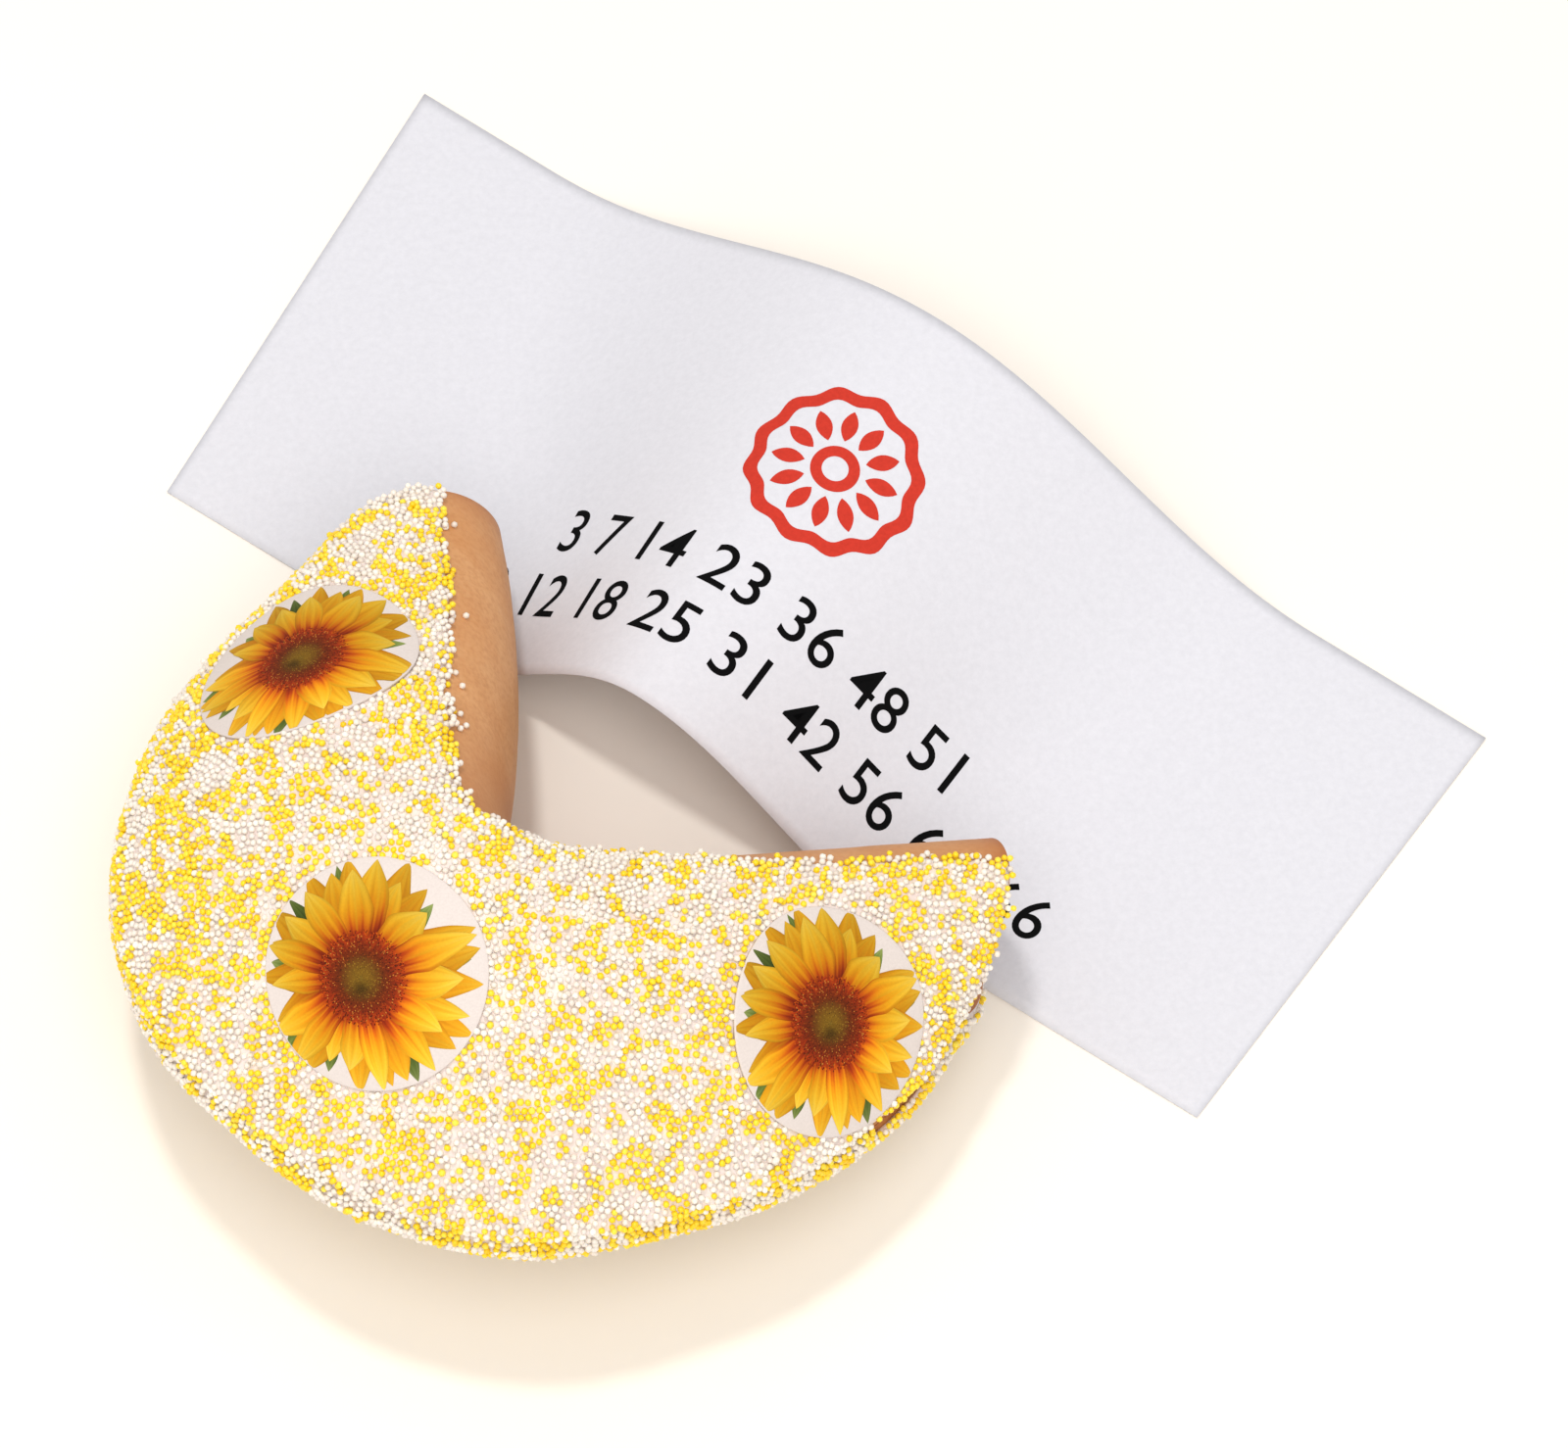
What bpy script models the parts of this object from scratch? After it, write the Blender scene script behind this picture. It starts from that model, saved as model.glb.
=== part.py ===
# Giant iced fortune cookie with its printed sugar discs and its paper slip.
#
# A round wafer, DISC_RADIUS across the half, is folded in half and its fold is
# bent over a rim, which gives two hollow wings, a notch between them and a lip
# where the two layers meet along the outer arc. The cookie lies on its back
# cheek, so its mid-plane is nearly level and both wing tips droop a little.
#
# The wafer is one smooth loft surface(t, s):
#   t = 0 ... 1  along the fold, from the far wing's mouth to the right wing's
#   s = -1 ... 1 across the wafer: back lip, fold at 0, front lip
# Everything else (icing coat, discs) is the same surface at another offset.
#
# Lengths below are millimetres in the cookie's own frame, whose z = 0 is the
# mid-plane between the two cheeks; the scene is in metres, +Z up.
import bpy
import bmesh
import numpy as np
from math import radians, degrees, sin, cos, pi, sqrt, hypot

MM = 0.001

# ---- fold, plan view --------------------------------------------------------
TIP_FAR = (-12.0, 87.1)        # fold's end at the far wing's mouth
TIP_RIGHT = (83.4, 11.0)       # fold's end at the right wing's mouth
APEX = (-11.3, -5.2)           # where the two straight runs of the fold would meet
APEX_ROUND = 0.31              # how softly the fold turns there
FOLD_BOW_FAR = 3.4             # the far run of the fold bows out to the right
# ---- outer lip, plan view ---------------------------------------------------
LIP_A = 85.2                   # half width of the lip's oval
LIP_B_NEAR = 76.3              # its half depth on the near side
LIP_B_FAR = 85.8               # and on the far side
LIP_START, LIP_END = 128.0, 340.0   # degrees round the oval
LIP_FLAT, LIP_FLAT_LEFT = 0.018, 0.052   # flattening on the near diagonals
PLAN_SHEAR = 0.055             # wings are not quite square to each other
# ---- cheeks -----------------------------------------------------------------
MOUTH_H_FAR, MOUTH_H_RIGHT = 17.0, 15.7  # half height of the wing mouths
CHEEK_FRONT, CHEEK_BACK = 46.1, 38.7     # bulge of each cheek behind the notch
PEAK_FAR, PEAK_RIGHT = 2.0, 1.35         # how quickly the bulge falls to the mouths
PEAK_BACK = 2.3
TAPER_FAR, TAPER_RIGHT = 1.4, 2.0        # fullness towards the lip, at the mouths
TAPER_FRONT, TAPER_BACK = 1.8, 2.4       # and behind the notch
LIP_H = 3.2                    # half height at the lip, outside to mid-plane
MOUTH_BOW_FAR, MOUTH_BOW_RIGHT = 7.0, 5.5  # mouths bow outward in plan
NOTCH_DENT = 4.6               # the fold is pushed in at the notch
BACK_LIP_OUT = 1.2             # back lip stands out past the front one in places
# ---- layers -----------------------------------------------------------------
WAFER = 2.4                    # biscuit thickness
GAP = 0.3                      # clearance between neighbouring solids
LIP_GAP = 0.7                  # and round the cut edge of the biscuit
LIP_WRAP = 1.1                 # how far the coat turns in over that edge
COAT = 2.2                     # icing with its sugar beads
COAT_EDGE = 0.45               # share of that left at the coat's edges
BAND_FAR, BAND_NOTCH, BAND_RIGHT = 14.6, 9.0, 12.3   # bare biscuit beside the fold
DISC_R = 21.5                  # printed sugar discs, 42.6 mm across
DISC_T = 0.8
DISC_BED = 1.2                 # the coat is this high under a disc
# ---- lie on the table -------------------------------------------------------
DROOP_FAR = 8.0                # degrees, far side down
DROOP_RIGHT = 6.0              # degrees, right side down
REST_H = 35.7                  # mid-plane origin above the table
# ---- slip -------------------------------------------------------------------
SLIP_T = 0.4                   # half a letter sheet cut lengthwise, 279 x 108 mm flat
SLIP_NEAR_L, SLIP_FAR_L = (-81.8, 111.3), (-29.2, 210.8)     # left edge, on the table
SLIP_NEAR_R, SLIP_FAR_R = (127.2, -31.7), (191.0, 53.6)      # right edge
HUMP_AT_NEAR, HUMP_AT_FAR = 0.464, 0.486   # along the slip
HUMP_H_NEAR, HUMP_H_FAR = 35.0, 33.0
HUMP_W_NEAR, HUMP_W_FAR = 68.0, 97.0   # half width at the near and the far edge
HUMP_W_PINNED = 49.0           # near edge, on the side that the far wing holds down
# ---- object origin: middle of the bounding box, on the table ---------------
ORIGIN = (51.5, 64.9)

# disc centres on the wafer (t, s) and the turn of each
DISCS = (("sugar_disc_far", 0.1605, 0.5723), ("sugar_disc_middle", 0.4867, 0.6469),
         ("sugar_disc_right", 0.8507, 0.6493))

NT, NC, NF = 36, 9, 6          # loft divisions: along, across each cheek, across the bare fold


# ============================== the wafer's shape ============================
def spine(t):
    q = 2 * t - 1
    e = APEX_ROUND
    far = ((-q + np.sqrt(q * q + e * e)) / 2) ** 2
    right = ((q + np.sqrt(q * q + e * e)) / 2) ** 2
    full = ((1 + sqrt(1 + e * e)) / 2) ** 2
    a = np.array(APEX)
    far, right = far / full, right / full
    bow = FOLD_BOW_FAR * 4 * far * (1 - far)
    return (a + np.multiply.outer(far, np.array(TIP_FAR) - a)
            + np.multiply.outer(right, np.array(TIP_RIGHT) - a)
            + np.multiply.outer(bow, np.array([1.0, 0.0])))


def lip(t, s):
    deg = LIP_START + (LIP_END - LIP_START) * t
    psi = np.radians(deg)
    near = np.sin(psi) < 0
    k = 1 - np.sin(2 * psi) ** 2 * np.where(near, LIP_FLAT + np.where(np.cos(psi) < 0, LIP_FLAT_LEFT, 0), 0)
    k = k + 0.005 * np.sin(7 * psi + 1.0) + 0.003 * np.sin(12 * psi + 2.0)
    out = BACK_LIP_OUT * (np.exp(-((deg - 316) / 20) ** 2) + 0.8 * np.exp(-((deg - 236) / 18) ** 2))
    k = k + np.where(s < 0, out, 0) / LIP_A
    b = np.where(near, LIP_B_NEAR, LIP_B_FAR)
    return np.stack([LIP_A * k * np.cos(psi), b * k * np.sin(psi)], -1)


def half_height(t, s):
    q = 2 * t - 1
    mouth = MOUTH_H_FAR * (1 - t) + MOUTH_H_RIGHT * t
    front = mouth + (CHEEK_FRONT - mouth) * (1 - np.abs(q) ** np.where(q < 0, PEAK_FAR, PEAK_RIGHT))
    back = mouth + (CHEEK_BACK - mouth) * (1 - np.abs(q) ** PEAK_BACK)
    return np.where(s < 0, back, front)


def surface(t, s):
    """Outer face of the biscuit, cookie frame, mm."""
    t = np.asarray(t, float)
    s = np.asarray(s, float)
    t, s = np.broadcast_arrays(t, s)
    half = pi * np.abs(s) / 2
    p = spine(t)
    d = lip(t, s) - p
    length = np.hypot(d[..., 0], d[..., 1])[..., None]
    along = d / length
    across = np.stack([along[..., 1], -along[..., 0]], -1)
    u = np.sin(half) ** 2
    q = 2 * t - 1
    b = np.where(q < 0, TAPER_FAR, TAPER_RIGHT)
    b = b + (np.where(s < 0, TAPER_BACK, TAPER_FRONT) - b) * (1 - q * q)
    peak = np.sqrt(1 / (1 + b)) * np.sqrt(b / (1 + b)) ** b
    z = half_height(t, s) / peak * np.sin(half) * np.maximum(np.cos(half), 1e-9) ** b
    z = z + LIP_H * u
    bow = np.abs(q) ** 3 * np.where(q < 0, -MOUTH_BOW_FAR, MOUTH_BOW_RIGHT)
    dent = NOTCH_DENT * np.exp(-(q / 0.35) ** 2) * np.exp(-(z / 15.0) ** 2)
    xy = p + d * u[..., None] + along * dent[..., None] - across * (bow * 4 * u * (1 - u))[..., None]
    y = xy[..., 1] + PLAN_SHEAR * xy[..., 0]
    return np.stack([xy[..., 0], y, np.where(s < 0, -1.0, 1.0) * z], -1)


def unit(v):
    return v / np.linalg.norm(v, axis=-1, keepdims=True)


def normal(t, s):
    h = 1e-4
    du = surface(t + h, s) - surface(t - h, s)
    dv = surface(t, np.minimum(s + h, 1.0)) - surface(t, np.maximum(s - h, -1.0))
    return unit(-np.cross(du, dv))


def lip_tangent(t, sign):
    """Direction in the wafer, square to its edge, out of a lip."""
    one = np.full_like(t, sign, dtype=float)
    run = surface(t + 1e-3, one) - surface(t - 1e-3, one)
    c = unit(np.cross(run, normal(t, one)))
    out = surface(t, one) - surface(t, one * 0.9)
    return c * np.sign((c * out).sum(-1, keepdims=True))


def to_world(p):
    """Cookie frame (mm) to the object's frame (m)."""
    a, b = radians(DROOP_FAR), radians(DROOP_RIGHT)
    x, y, z = p[..., 0], p[..., 1], p[..., 2]
    x, z = x * cos(b) + z * sin(b), -x * sin(b) + z * cos(b)
    y, z = y * cos(a) + z * sin(a), -y * sin(a) + z * cos(a)
    return np.stack([x - ORIGIN[0], y - ORIGIN[1], z + REST_H], -1) * MM


def band(t):
    """Plan width of the bare biscuit beside the fold."""
    q = 2 * t - 1
    end = np.where(q < 0, BAND_FAR, BAND_RIGHT)
    return BAND_NOTCH + (end - BAND_NOTCH) * (1 - np.exp(-np.abs(q) / np.where(q < 0, 0.15, 0.3)))


def band_s(t):
    """The same width as a share of the way from fold to lip."""
    d = lip(t, np.ones_like(t)) - spine(t)
    u = band(t) / np.hypot(d[..., 0], d[..., 1])
    return 2 / pi * np.arcsin(np.sqrt(u))


# ================================ Blender side ===============================
def clear():
    for o in list(bpy.data.objects):
        bpy.data.objects.remove(o, do_unlink=True)


def material(name, color, rough, spec=0.5, sub=0.0):
    m = bpy.data.materials.new(name)
    m.use_nodes = True
    p = m.node_tree.nodes["Principled BSDF"]
    p.inputs["Base Color"].default_value = (*color, 1)
    p.inputs["Roughness"].default_value = rough
    p.inputs["Metallic"].default_value = 0.0
    p.inputs["Specular IOR Level"].default_value = spec
    p.inputs["Subsurface Weight"].default_value = sub
    return m


def loft(name, grid, coll, mat, ring=False, cap=False):
    """Quads over a grid of points (n, m, 3); ring closes the second direction,
    cap fans the first row to its single middle point."""
    n, m = grid.shape[:2]
    mesh = bpy.data.meshes.new(name)
    bm = bmesh.new()
    rows = []
    for i in range(n):
        if cap and i == 0:
            v = bm.verts.new(grid[0, 0])
            rows.append([v] * m)
        else:
            rows.append([bm.verts.new(grid[i, j]) for j in range(m)])
    for i in range(n - 1):
        for j in range(m if ring else m - 1):
            k = (j + 1) % m
            quad = [rows[i][j], rows[i + 1][j], rows[i + 1][k], rows[i][k]]
            if cap and i == 0:
                quad = [rows[0][0], rows[1][j], rows[1][k]]
            bm.faces.new(quad)
    bm.normal_update()
    bm.to_mesh(mesh)
    bm.free()
    mesh.shade_smooth()
    mesh.set_sharp_from_angle(angle=radians(40))
    ob = bpy.data.objects.new(name, mesh)
    mesh.materials.append(mat)
    coll.objects.link(ob)
    return ob


def solidify(ob, thick, offset, weights=None, floor=1.0):
    mod = ob.modifiers.new("thickness", "SOLIDIFY")
    mod.thickness = thick * MM
    mod.offset = offset
    mod.use_even_offset = True
    mod.use_quality_normals = True
    mod.use_rim = True
    if weights is not None:
        g = ob.vertex_groups.new(name="wall")
        for i, w in enumerate(weights):
            g.add([i], float(w), "REPLACE")
        mod.vertex_group = "wall"
        mod.thickness_vertex_group = floor
    return mod


def cut(ob, cutter):
    mod = ob.modifiers.new("cut_" + cutter.name, "BOOLEAN")
    mod.operation = "DIFFERENCE"
    mod.solver = "EXACT"
    mod.object = cutter
    cutter.hide_render = True
    cutter.display_type = "WIRE"


def wafer(coll):
    t = np.linspace(0, 1, NT + 1)
    s0 = band_s(t)[:, None]
    side = s0 + (1 - s0) * np.linspace(0, 1, NC + 1)[None]
    S = np.concatenate([-side[:, ::-1], s0 * np.linspace(-1, 1, NF + 1)[None, 1:-1], side], 1)
    ob = loft("cookie_shell", to_world(surface(t[:, None], S))[::-1], coll,
              material("biscuit", (0.60, 0.34, 0.16), 0.62))
    solidify(ob, WAFER, -1)
    return ob


def coat(name, sign, coll, mat):
    """Icing over one cheek, round the wafer's cut edge at the lip."""
    t = np.linspace(0, 1, NT + 1)
    s0 = band_s(t)
    clear_gap = (LIP_GAP + 1.0 * np.abs(2 * t - 1) ** 10)[:, None]
    cols, wts = [], []
    for j in range(NC + 1):
        f = j / NC
        s = sign * (s0 + (1 - s0) * f)
        n = normal(t, s)
        p = surface(t, s) + n * GAP
        if j == NC:
            p = p + lip_tangent(t, sign) * clear_gap
        cols.append(p)
        wts.append(np.full(NT + 1, (0.0, 0.75)[j] if j < 2 else 1.0 - 0.5 * max(0, f - 0.8) / 0.2))
    edge = surface(t, np.full_like(t, sign))
    nn = normal(t, np.full_like(t, sign * 1.0))
    cols.append(edge + lip_tangent(t, sign) * clear_gap - nn * LIP_WRAP)
    wts.append(np.full(NT + 1, 0.0))
    grid = np.stack(cols, 1)
    W = np.stack(wts, 1)
    W[0] *= 0.4
    W[-1] *= 0.4
    if sign > 0:
        grid, W = grid[::-1], W[::-1]
    ob = loft(name, to_world(grid), coll, mat)
    solidify(ob, COAT, 1, W.reshape(-1), COAT_EDGE)
    return ob


def disc_grid(t0, s0, radius, offset, rings=3, segs=24):
    """Points of a round disc that follows the cheek, found by Newton steps."""
    c = surface(t0, s0)
    n = normal(t0, s0)
    a = unit(surface(t0, s0 + 1e-3) - surface(t0, s0 - 1e-3))
    b = np.cross(n, a)
    pts = np.zeros((rings + 1, segs, 3))
    for j in range(segs):
        ang = 2 * pi * j / segs
        t, s = t0, s0
        for i in range(rings + 1):
            x, y = radius * i / rings * cos(ang), radius * i / rings * sin(ang)
            for _ in range(12):
                d = surface(t, s) - c
                r = np.array([x - d @ a, y - d @ b])
                h = 1e-5
                ds = (surface(t, s + h) - surface(t, s - h)) / (2 * h)
                dt = (surface(t + h, s) - surface(t - h, s)) / (2 * h)
                jac = np.array([[dt @ a, ds @ a], [dt @ b, ds @ b]])
                step = np.linalg.solve(jac, r)
                t, s = t + step[0], s + step[1]
            pts[i, j] = surface(t, s) + normal(t, s) * offset
    return pts


def sugar_disc(name, t0, s0, coll, cutters, mat, blank):
    ob = loft(name, to_world(disc_grid(t0, s0, DISC_R, DISC_BED + GAP)), coll, mat, ring=True, cap=True)
    solidify(ob, DISC_T, 1)
    bed = loft("bed_" + name, to_world(disc_grid(t0, s0, DISC_R + 0.6, DISC_BED)), cutters, blank,
               ring=True, cap=True)
    solidify(bed, 5.0, 1)
    return ob, bed


def slip(coll, mat):
    """Paper strip on the table, arched once across its middle."""
    mids = np.linspace(-1.0, 1.0, 17)
    rows = []
    for w in np.linspace(0, 1, 4):
        half = HUMP_W_NEAR + (HUMP_W_FAR - HUMP_W_NEAR) * w
        pinned = HUMP_W_PINNED + (HUMP_W_FAR - HUMP_W_PINNED) * w
        left = np.array(SLIP_NEAR_L) * (1 - w) + np.array(SLIP_FAR_L) * w
        right = np.array(SLIP_NEAR_R) * (1 - w) + np.array(SLIP_FAR_R) * w
        chord = hypot(*(right - left))
        at = (HUMP_AT_NEAR + (HUMP_AT_FAR - HUMP_AT_NEAR) * w) * chord
        top = HUMP_H_NEAR + (HUMP_H_FAR - HUMP_H_NEAR) * w
        x = np.concatenate([np.linspace(0, at - pinned, 3)[:-1], at + np.where(mids < 0, pinned, half) * mids,
                            np.linspace(at + half, chord, 3)[1:]])
        d = np.clip((x - at) / np.where(x < at, pinned, half), -1, 1)
        z = top * np.cos(pi / 2 * d) ** 2
        xy = left + np.multiply.outer(x / chord, right - left)
        rows.append(np.stack([xy[:, 0] - ORIGIN[0], xy[:, 1] - ORIGIN[1], z], -1) * MM)
    grid = np.stack(rows, 0)[::-1]
    ob = loft("fortune_slip", grid, coll, mat)
    solidify(ob, SLIP_T, 1)
    return ob


def main():
    clear()
    scene = bpy.context.scene
    scene.unit_settings.system = "METRIC"
    body = bpy.data.collections.new("fortune_cookie")
    tools = bpy.data.collections.new("fortune_cookie_cutters")
    scene.collection.children.link(body)
    scene.collection.children.link(tools)
    blank = material("cutter", (0.5, 0.5, 0.5), 0.5)

    wafer(body)
    front = coat("coat_front", 1, body, material("sugar_front", (0.90, 0.82, 0.62), 0.55, sub=0.1))
    back = coat("coat_back", -1, body, material("sugar_back", (0.90, 0.82, 0.62), 0.55, sub=0.1))
    for name, t0, s0 in DISCS:
        ob, bed = sugar_disc(name, t0, s0, body, tools,
                             material("print_" + name, (0.86, 0.80, 0.76), 0.6), blank)
        cut(front, bed)
    slip(body, material("paper", (0.80, 0.80, 0.84), 0.7))

    # small flat spot under the back cheek: what would reach below the table is cut
    bpy.ops.mesh.primitive_cube_add(size=1, location=(-ORIGIN[0] * MM, -ORIGIN[1] * MM, -0.01))
    box = bpy.context.active_object
    box.name = "rest_cut"
    box.dimensions = (0.16, 0.16, 0.02)
    for c in list(box.users_collection):
        c.objects.unlink(box)
    tools.objects.link(box)
    bpy.context.view_layer.update()
    cut(back, box)


main()
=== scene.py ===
"""Looks of the giant iced fortune cookie: wafer, icing, sugar beads, printed discs, paper slip."""

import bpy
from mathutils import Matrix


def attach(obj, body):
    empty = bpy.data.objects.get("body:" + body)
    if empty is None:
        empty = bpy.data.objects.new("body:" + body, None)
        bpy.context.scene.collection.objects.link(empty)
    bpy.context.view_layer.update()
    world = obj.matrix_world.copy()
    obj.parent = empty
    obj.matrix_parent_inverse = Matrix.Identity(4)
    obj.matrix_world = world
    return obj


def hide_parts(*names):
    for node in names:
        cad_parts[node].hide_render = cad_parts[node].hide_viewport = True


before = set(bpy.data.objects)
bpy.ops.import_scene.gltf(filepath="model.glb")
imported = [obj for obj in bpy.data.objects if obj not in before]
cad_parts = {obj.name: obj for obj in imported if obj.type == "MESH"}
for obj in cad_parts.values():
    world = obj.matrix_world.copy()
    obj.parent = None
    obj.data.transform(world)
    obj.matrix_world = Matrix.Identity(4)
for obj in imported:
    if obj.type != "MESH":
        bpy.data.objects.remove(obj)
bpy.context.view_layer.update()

import bpy
import bmesh
import random
import numpy as np
from math import radians, sin, cos, pi, sqrt, hypot, atan2
from mathutils import Vector, Matrix, noise
from mathutils.kdtree import KDTree

MM = 0.001
SEED = 9

# ------------------------------------------------------------------ the cookie's shape, as in part.py
TIP_FAR = (-12.0, 87.1)
TIP_RIGHT = (83.4, 11.0)
APEX = (-11.3, -5.2)
APEX_ROUND = 0.31
FOLD_BOW_FAR = 3.4
LIP_A = 85.2
LIP_B_NEAR = 76.3
LIP_B_FAR = 85.8
LIP_START, LIP_END = 128.0, 340.0
LIP_FLAT, LIP_FLAT_LEFT = 0.018, 0.052
PLAN_SHEAR = 0.055
MOUTH_H_FAR, MOUTH_H_RIGHT = 17.0, 15.7
CHEEK_FRONT, CHEEK_BACK = 46.1, 38.7
PEAK_FAR, PEAK_RIGHT = 2.0, 1.35
PEAK_BACK = 2.3
TAPER_FAR, TAPER_RIGHT = 1.4, 2.0
TAPER_FRONT, TAPER_BACK = 1.8, 2.4
LIP_H = 3.2
MOUTH_BOW_FAR, MOUTH_BOW_RIGHT = 7.0, 5.5
NOTCH_DENT = 4.6
BACK_LIP_OUT = 1.2
WAFER = 2.4
BAND = ((0.0, 11.8), (0.03, 14.4), (0.08, 16.2), (0.16, 16.9), (0.34, 16.9), (0.40, 16.2), (0.45, 14.0),
        (0.50, 11.2), (0.56, 9.6), (0.70, 10.4), (0.80, 12.6), (0.87, 14.3), (0.93, 14.1), (0.97, 12.9), (1.0, 11.6))
DISC_R = 21.5
DROOP_FAR, DROOP_RIGHT = 8.0, 6.0
REST_H = 35.7
SLIP_NEAR_L, SLIP_FAR_L = (-81.8, 111.3), (-29.2, 210.8)
SLIP_NEAR_R, SLIP_FAR_R = (127.2, -31.7), (191.0, 53.6)
HUMP_AT_NEAR, HUMP_AT_FAR = 0.464, 0.486
HUMP_H_NEAR, HUMP_H_FAR = 35.0, 33.0
HUMP_W_NEAR, HUMP_W_FAR = 68.0, 97.0
HUMP_W_PINNED = 49.0
ORIGIN = (51.5, 64.9)
DISCS = (("far", 0.1605, 0.5723), ("middle", 0.4867, 0.6469), ("right", 0.8507, 0.6493))


def spine(t):
    q = 2 * t - 1
    e = APEX_ROUND
    far = ((-q + np.sqrt(q * q + e * e)) / 2) ** 2
    right = ((q + np.sqrt(q * q + e * e)) / 2) ** 2
    full = ((1 + sqrt(1 + e * e)) / 2) ** 2
    a = np.array(APEX)
    far, right = far / full, right / full
    bow = FOLD_BOW_FAR * 4 * far * (1 - far)
    return (a + np.multiply.outer(far, np.array(TIP_FAR) - a)
            + np.multiply.outer(right, np.array(TIP_RIGHT) - a)
            + np.multiply.outer(bow, np.array([1.0, 0.0])))


def lip(t, s):
    deg = LIP_START + (LIP_END - LIP_START) * t
    psi = np.radians(deg)
    near = np.sin(psi) < 0
    k = 1 - np.sin(2 * psi) ** 2 * np.where(near, LIP_FLAT + np.where(np.cos(psi) < 0, LIP_FLAT_LEFT, 0), 0)
    k = k + 0.005 * np.sin(7 * psi + 1.0) + 0.003 * np.sin(12 * psi + 2.0)
    out = BACK_LIP_OUT * (np.exp(-((deg - 316) / 20) ** 2) + 0.8 * np.exp(-((deg - 236) / 18) ** 2))
    k = k + np.where(s < 0, out, 0) / LIP_A
    b = np.where(near, LIP_B_NEAR, LIP_B_FAR)
    return np.stack([LIP_A * k * np.cos(psi), b * k * np.sin(psi)], -1)


def half_height(t, s):
    q = 2 * t - 1
    mouth = MOUTH_H_FAR * (1 - t) + MOUTH_H_RIGHT * t
    front = mouth + (CHEEK_FRONT - mouth) * (1 - np.abs(q) ** np.where(q < 0, PEAK_FAR, PEAK_RIGHT))
    back = mouth + (CHEEK_BACK - mouth) * (1 - np.abs(q) ** PEAK_BACK)
    return np.where(s < 0, back, front)


def surface(t, s):
    """Outer face of the biscuit, cookie frame, mm. t runs along the fold, s from lip to lip."""
    t, s = np.broadcast_arrays(np.asarray(t, float), np.asarray(s, float))
    half = pi * np.abs(s) / 2
    p = spine(t)
    d = lip(t, s) - p
    length = np.hypot(d[..., 0], d[..., 1])[..., None]
    along = d / length
    across = np.stack([along[..., 1], -along[..., 0]], -1)
    u = np.sin(half) ** 2
    q = 2 * t - 1
    b = np.where(q < 0, TAPER_FAR, TAPER_RIGHT)
    b = b + (np.where(s < 0, TAPER_BACK, TAPER_FRONT) - b) * (1 - q * q)
    peak = np.sqrt(1 / (1 + b)) * np.sqrt(b / (1 + b)) ** b
    z = half_height(t, s) / peak * np.sin(half) * np.maximum(np.cos(half), 1e-9) ** b
    z = z + LIP_H * u
    bow = np.abs(q) ** 3 * np.where(q < 0, -MOUTH_BOW_FAR, MOUTH_BOW_RIGHT)
    dent = NOTCH_DENT * np.exp(-(q / 0.35) ** 2) * np.exp(-(z / 15.0) ** 2)
    xy = p + d * u[..., None] + along * dent[..., None] - across * (bow * 4 * u * (1 - u))[..., None]
    y = xy[..., 1] + PLAN_SHEAR * xy[..., 0]
    return np.stack([xy[..., 0], y, np.where(s < 0, -1.0, 1.0) * z], -1)


def unit(v):
    return v / np.maximum(np.linalg.norm(v, axis=-1, keepdims=True), 1e-12)


def normal(t, s):
    h = 1e-4
    t, s = np.broadcast_arrays(np.asarray(t, float), np.asarray(s, float))
    du = surface(t + h, s) - surface(t - h, s)
    dv = surface(t, np.minimum(s + h, 1.0)) - surface(t, np.maximum(s - h, -1.0))
    return unit(-np.cross(du, dv))


def lip_tangent(t, sign):
    """Direction in the wafer, square to its edge, out of a lip."""
    t = np.asarray(t, float)
    one = np.full_like(t, sign)
    run = surface(t + 1e-3, one) - surface(t - 1e-3, one)
    c = unit(np.cross(run, normal(t, one)))
    out = surface(t, one) - surface(t, one * 0.9)
    return c * np.sign((c * out).sum(-1, keepdims=True))


def rotate_world(v):
    a, b = radians(DROOP_FAR), radians(DROOP_RIGHT)
    x, y, z = v[..., 0], v[..., 1], v[..., 2]
    x, z = x * cos(b) + z * sin(b), -x * sin(b) + z * cos(b)
    y, z = y * cos(a) + z * sin(a), -y * sin(a) + z * cos(a)
    return np.stack([x, y, z], -1)


def to_world(p):
    """Cookie frame (mm) to the object's frame (m)."""
    w = rotate_world(p)
    return (w + np.array([-ORIGIN[0], -ORIGIN[1], REST_H])) * MM


def band(t):
    k = np.array(BAND)
    return sum(np.interp(t + d, k[:, 0], k[:, 1]) for d in (-0.03, -0.015, 0.0, 0.015, 0.03)) / 5


def band_s(t, extra=0.0):
    """The bare band's width, plus extra mm, as a share of the way from fold to lip."""
    d = lip(t, np.ones_like(t)) - spine(t)
    u = (band(t) + extra) / np.hypot(d[..., 0], d[..., 1])
    return 2 / pi * np.arcsin(np.sqrt(np.clip(u, 0, 1)))


def wobble(t, seed, *waves):
    """A sum of sines, for edges that aren't straight; waves are (frequency, size)."""
    r = np.random.default_rng(seed)
    return sum(a * np.sin(2 * pi * f * t + r.uniform(0, 2 * pi)) for f, a in waves)


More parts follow.
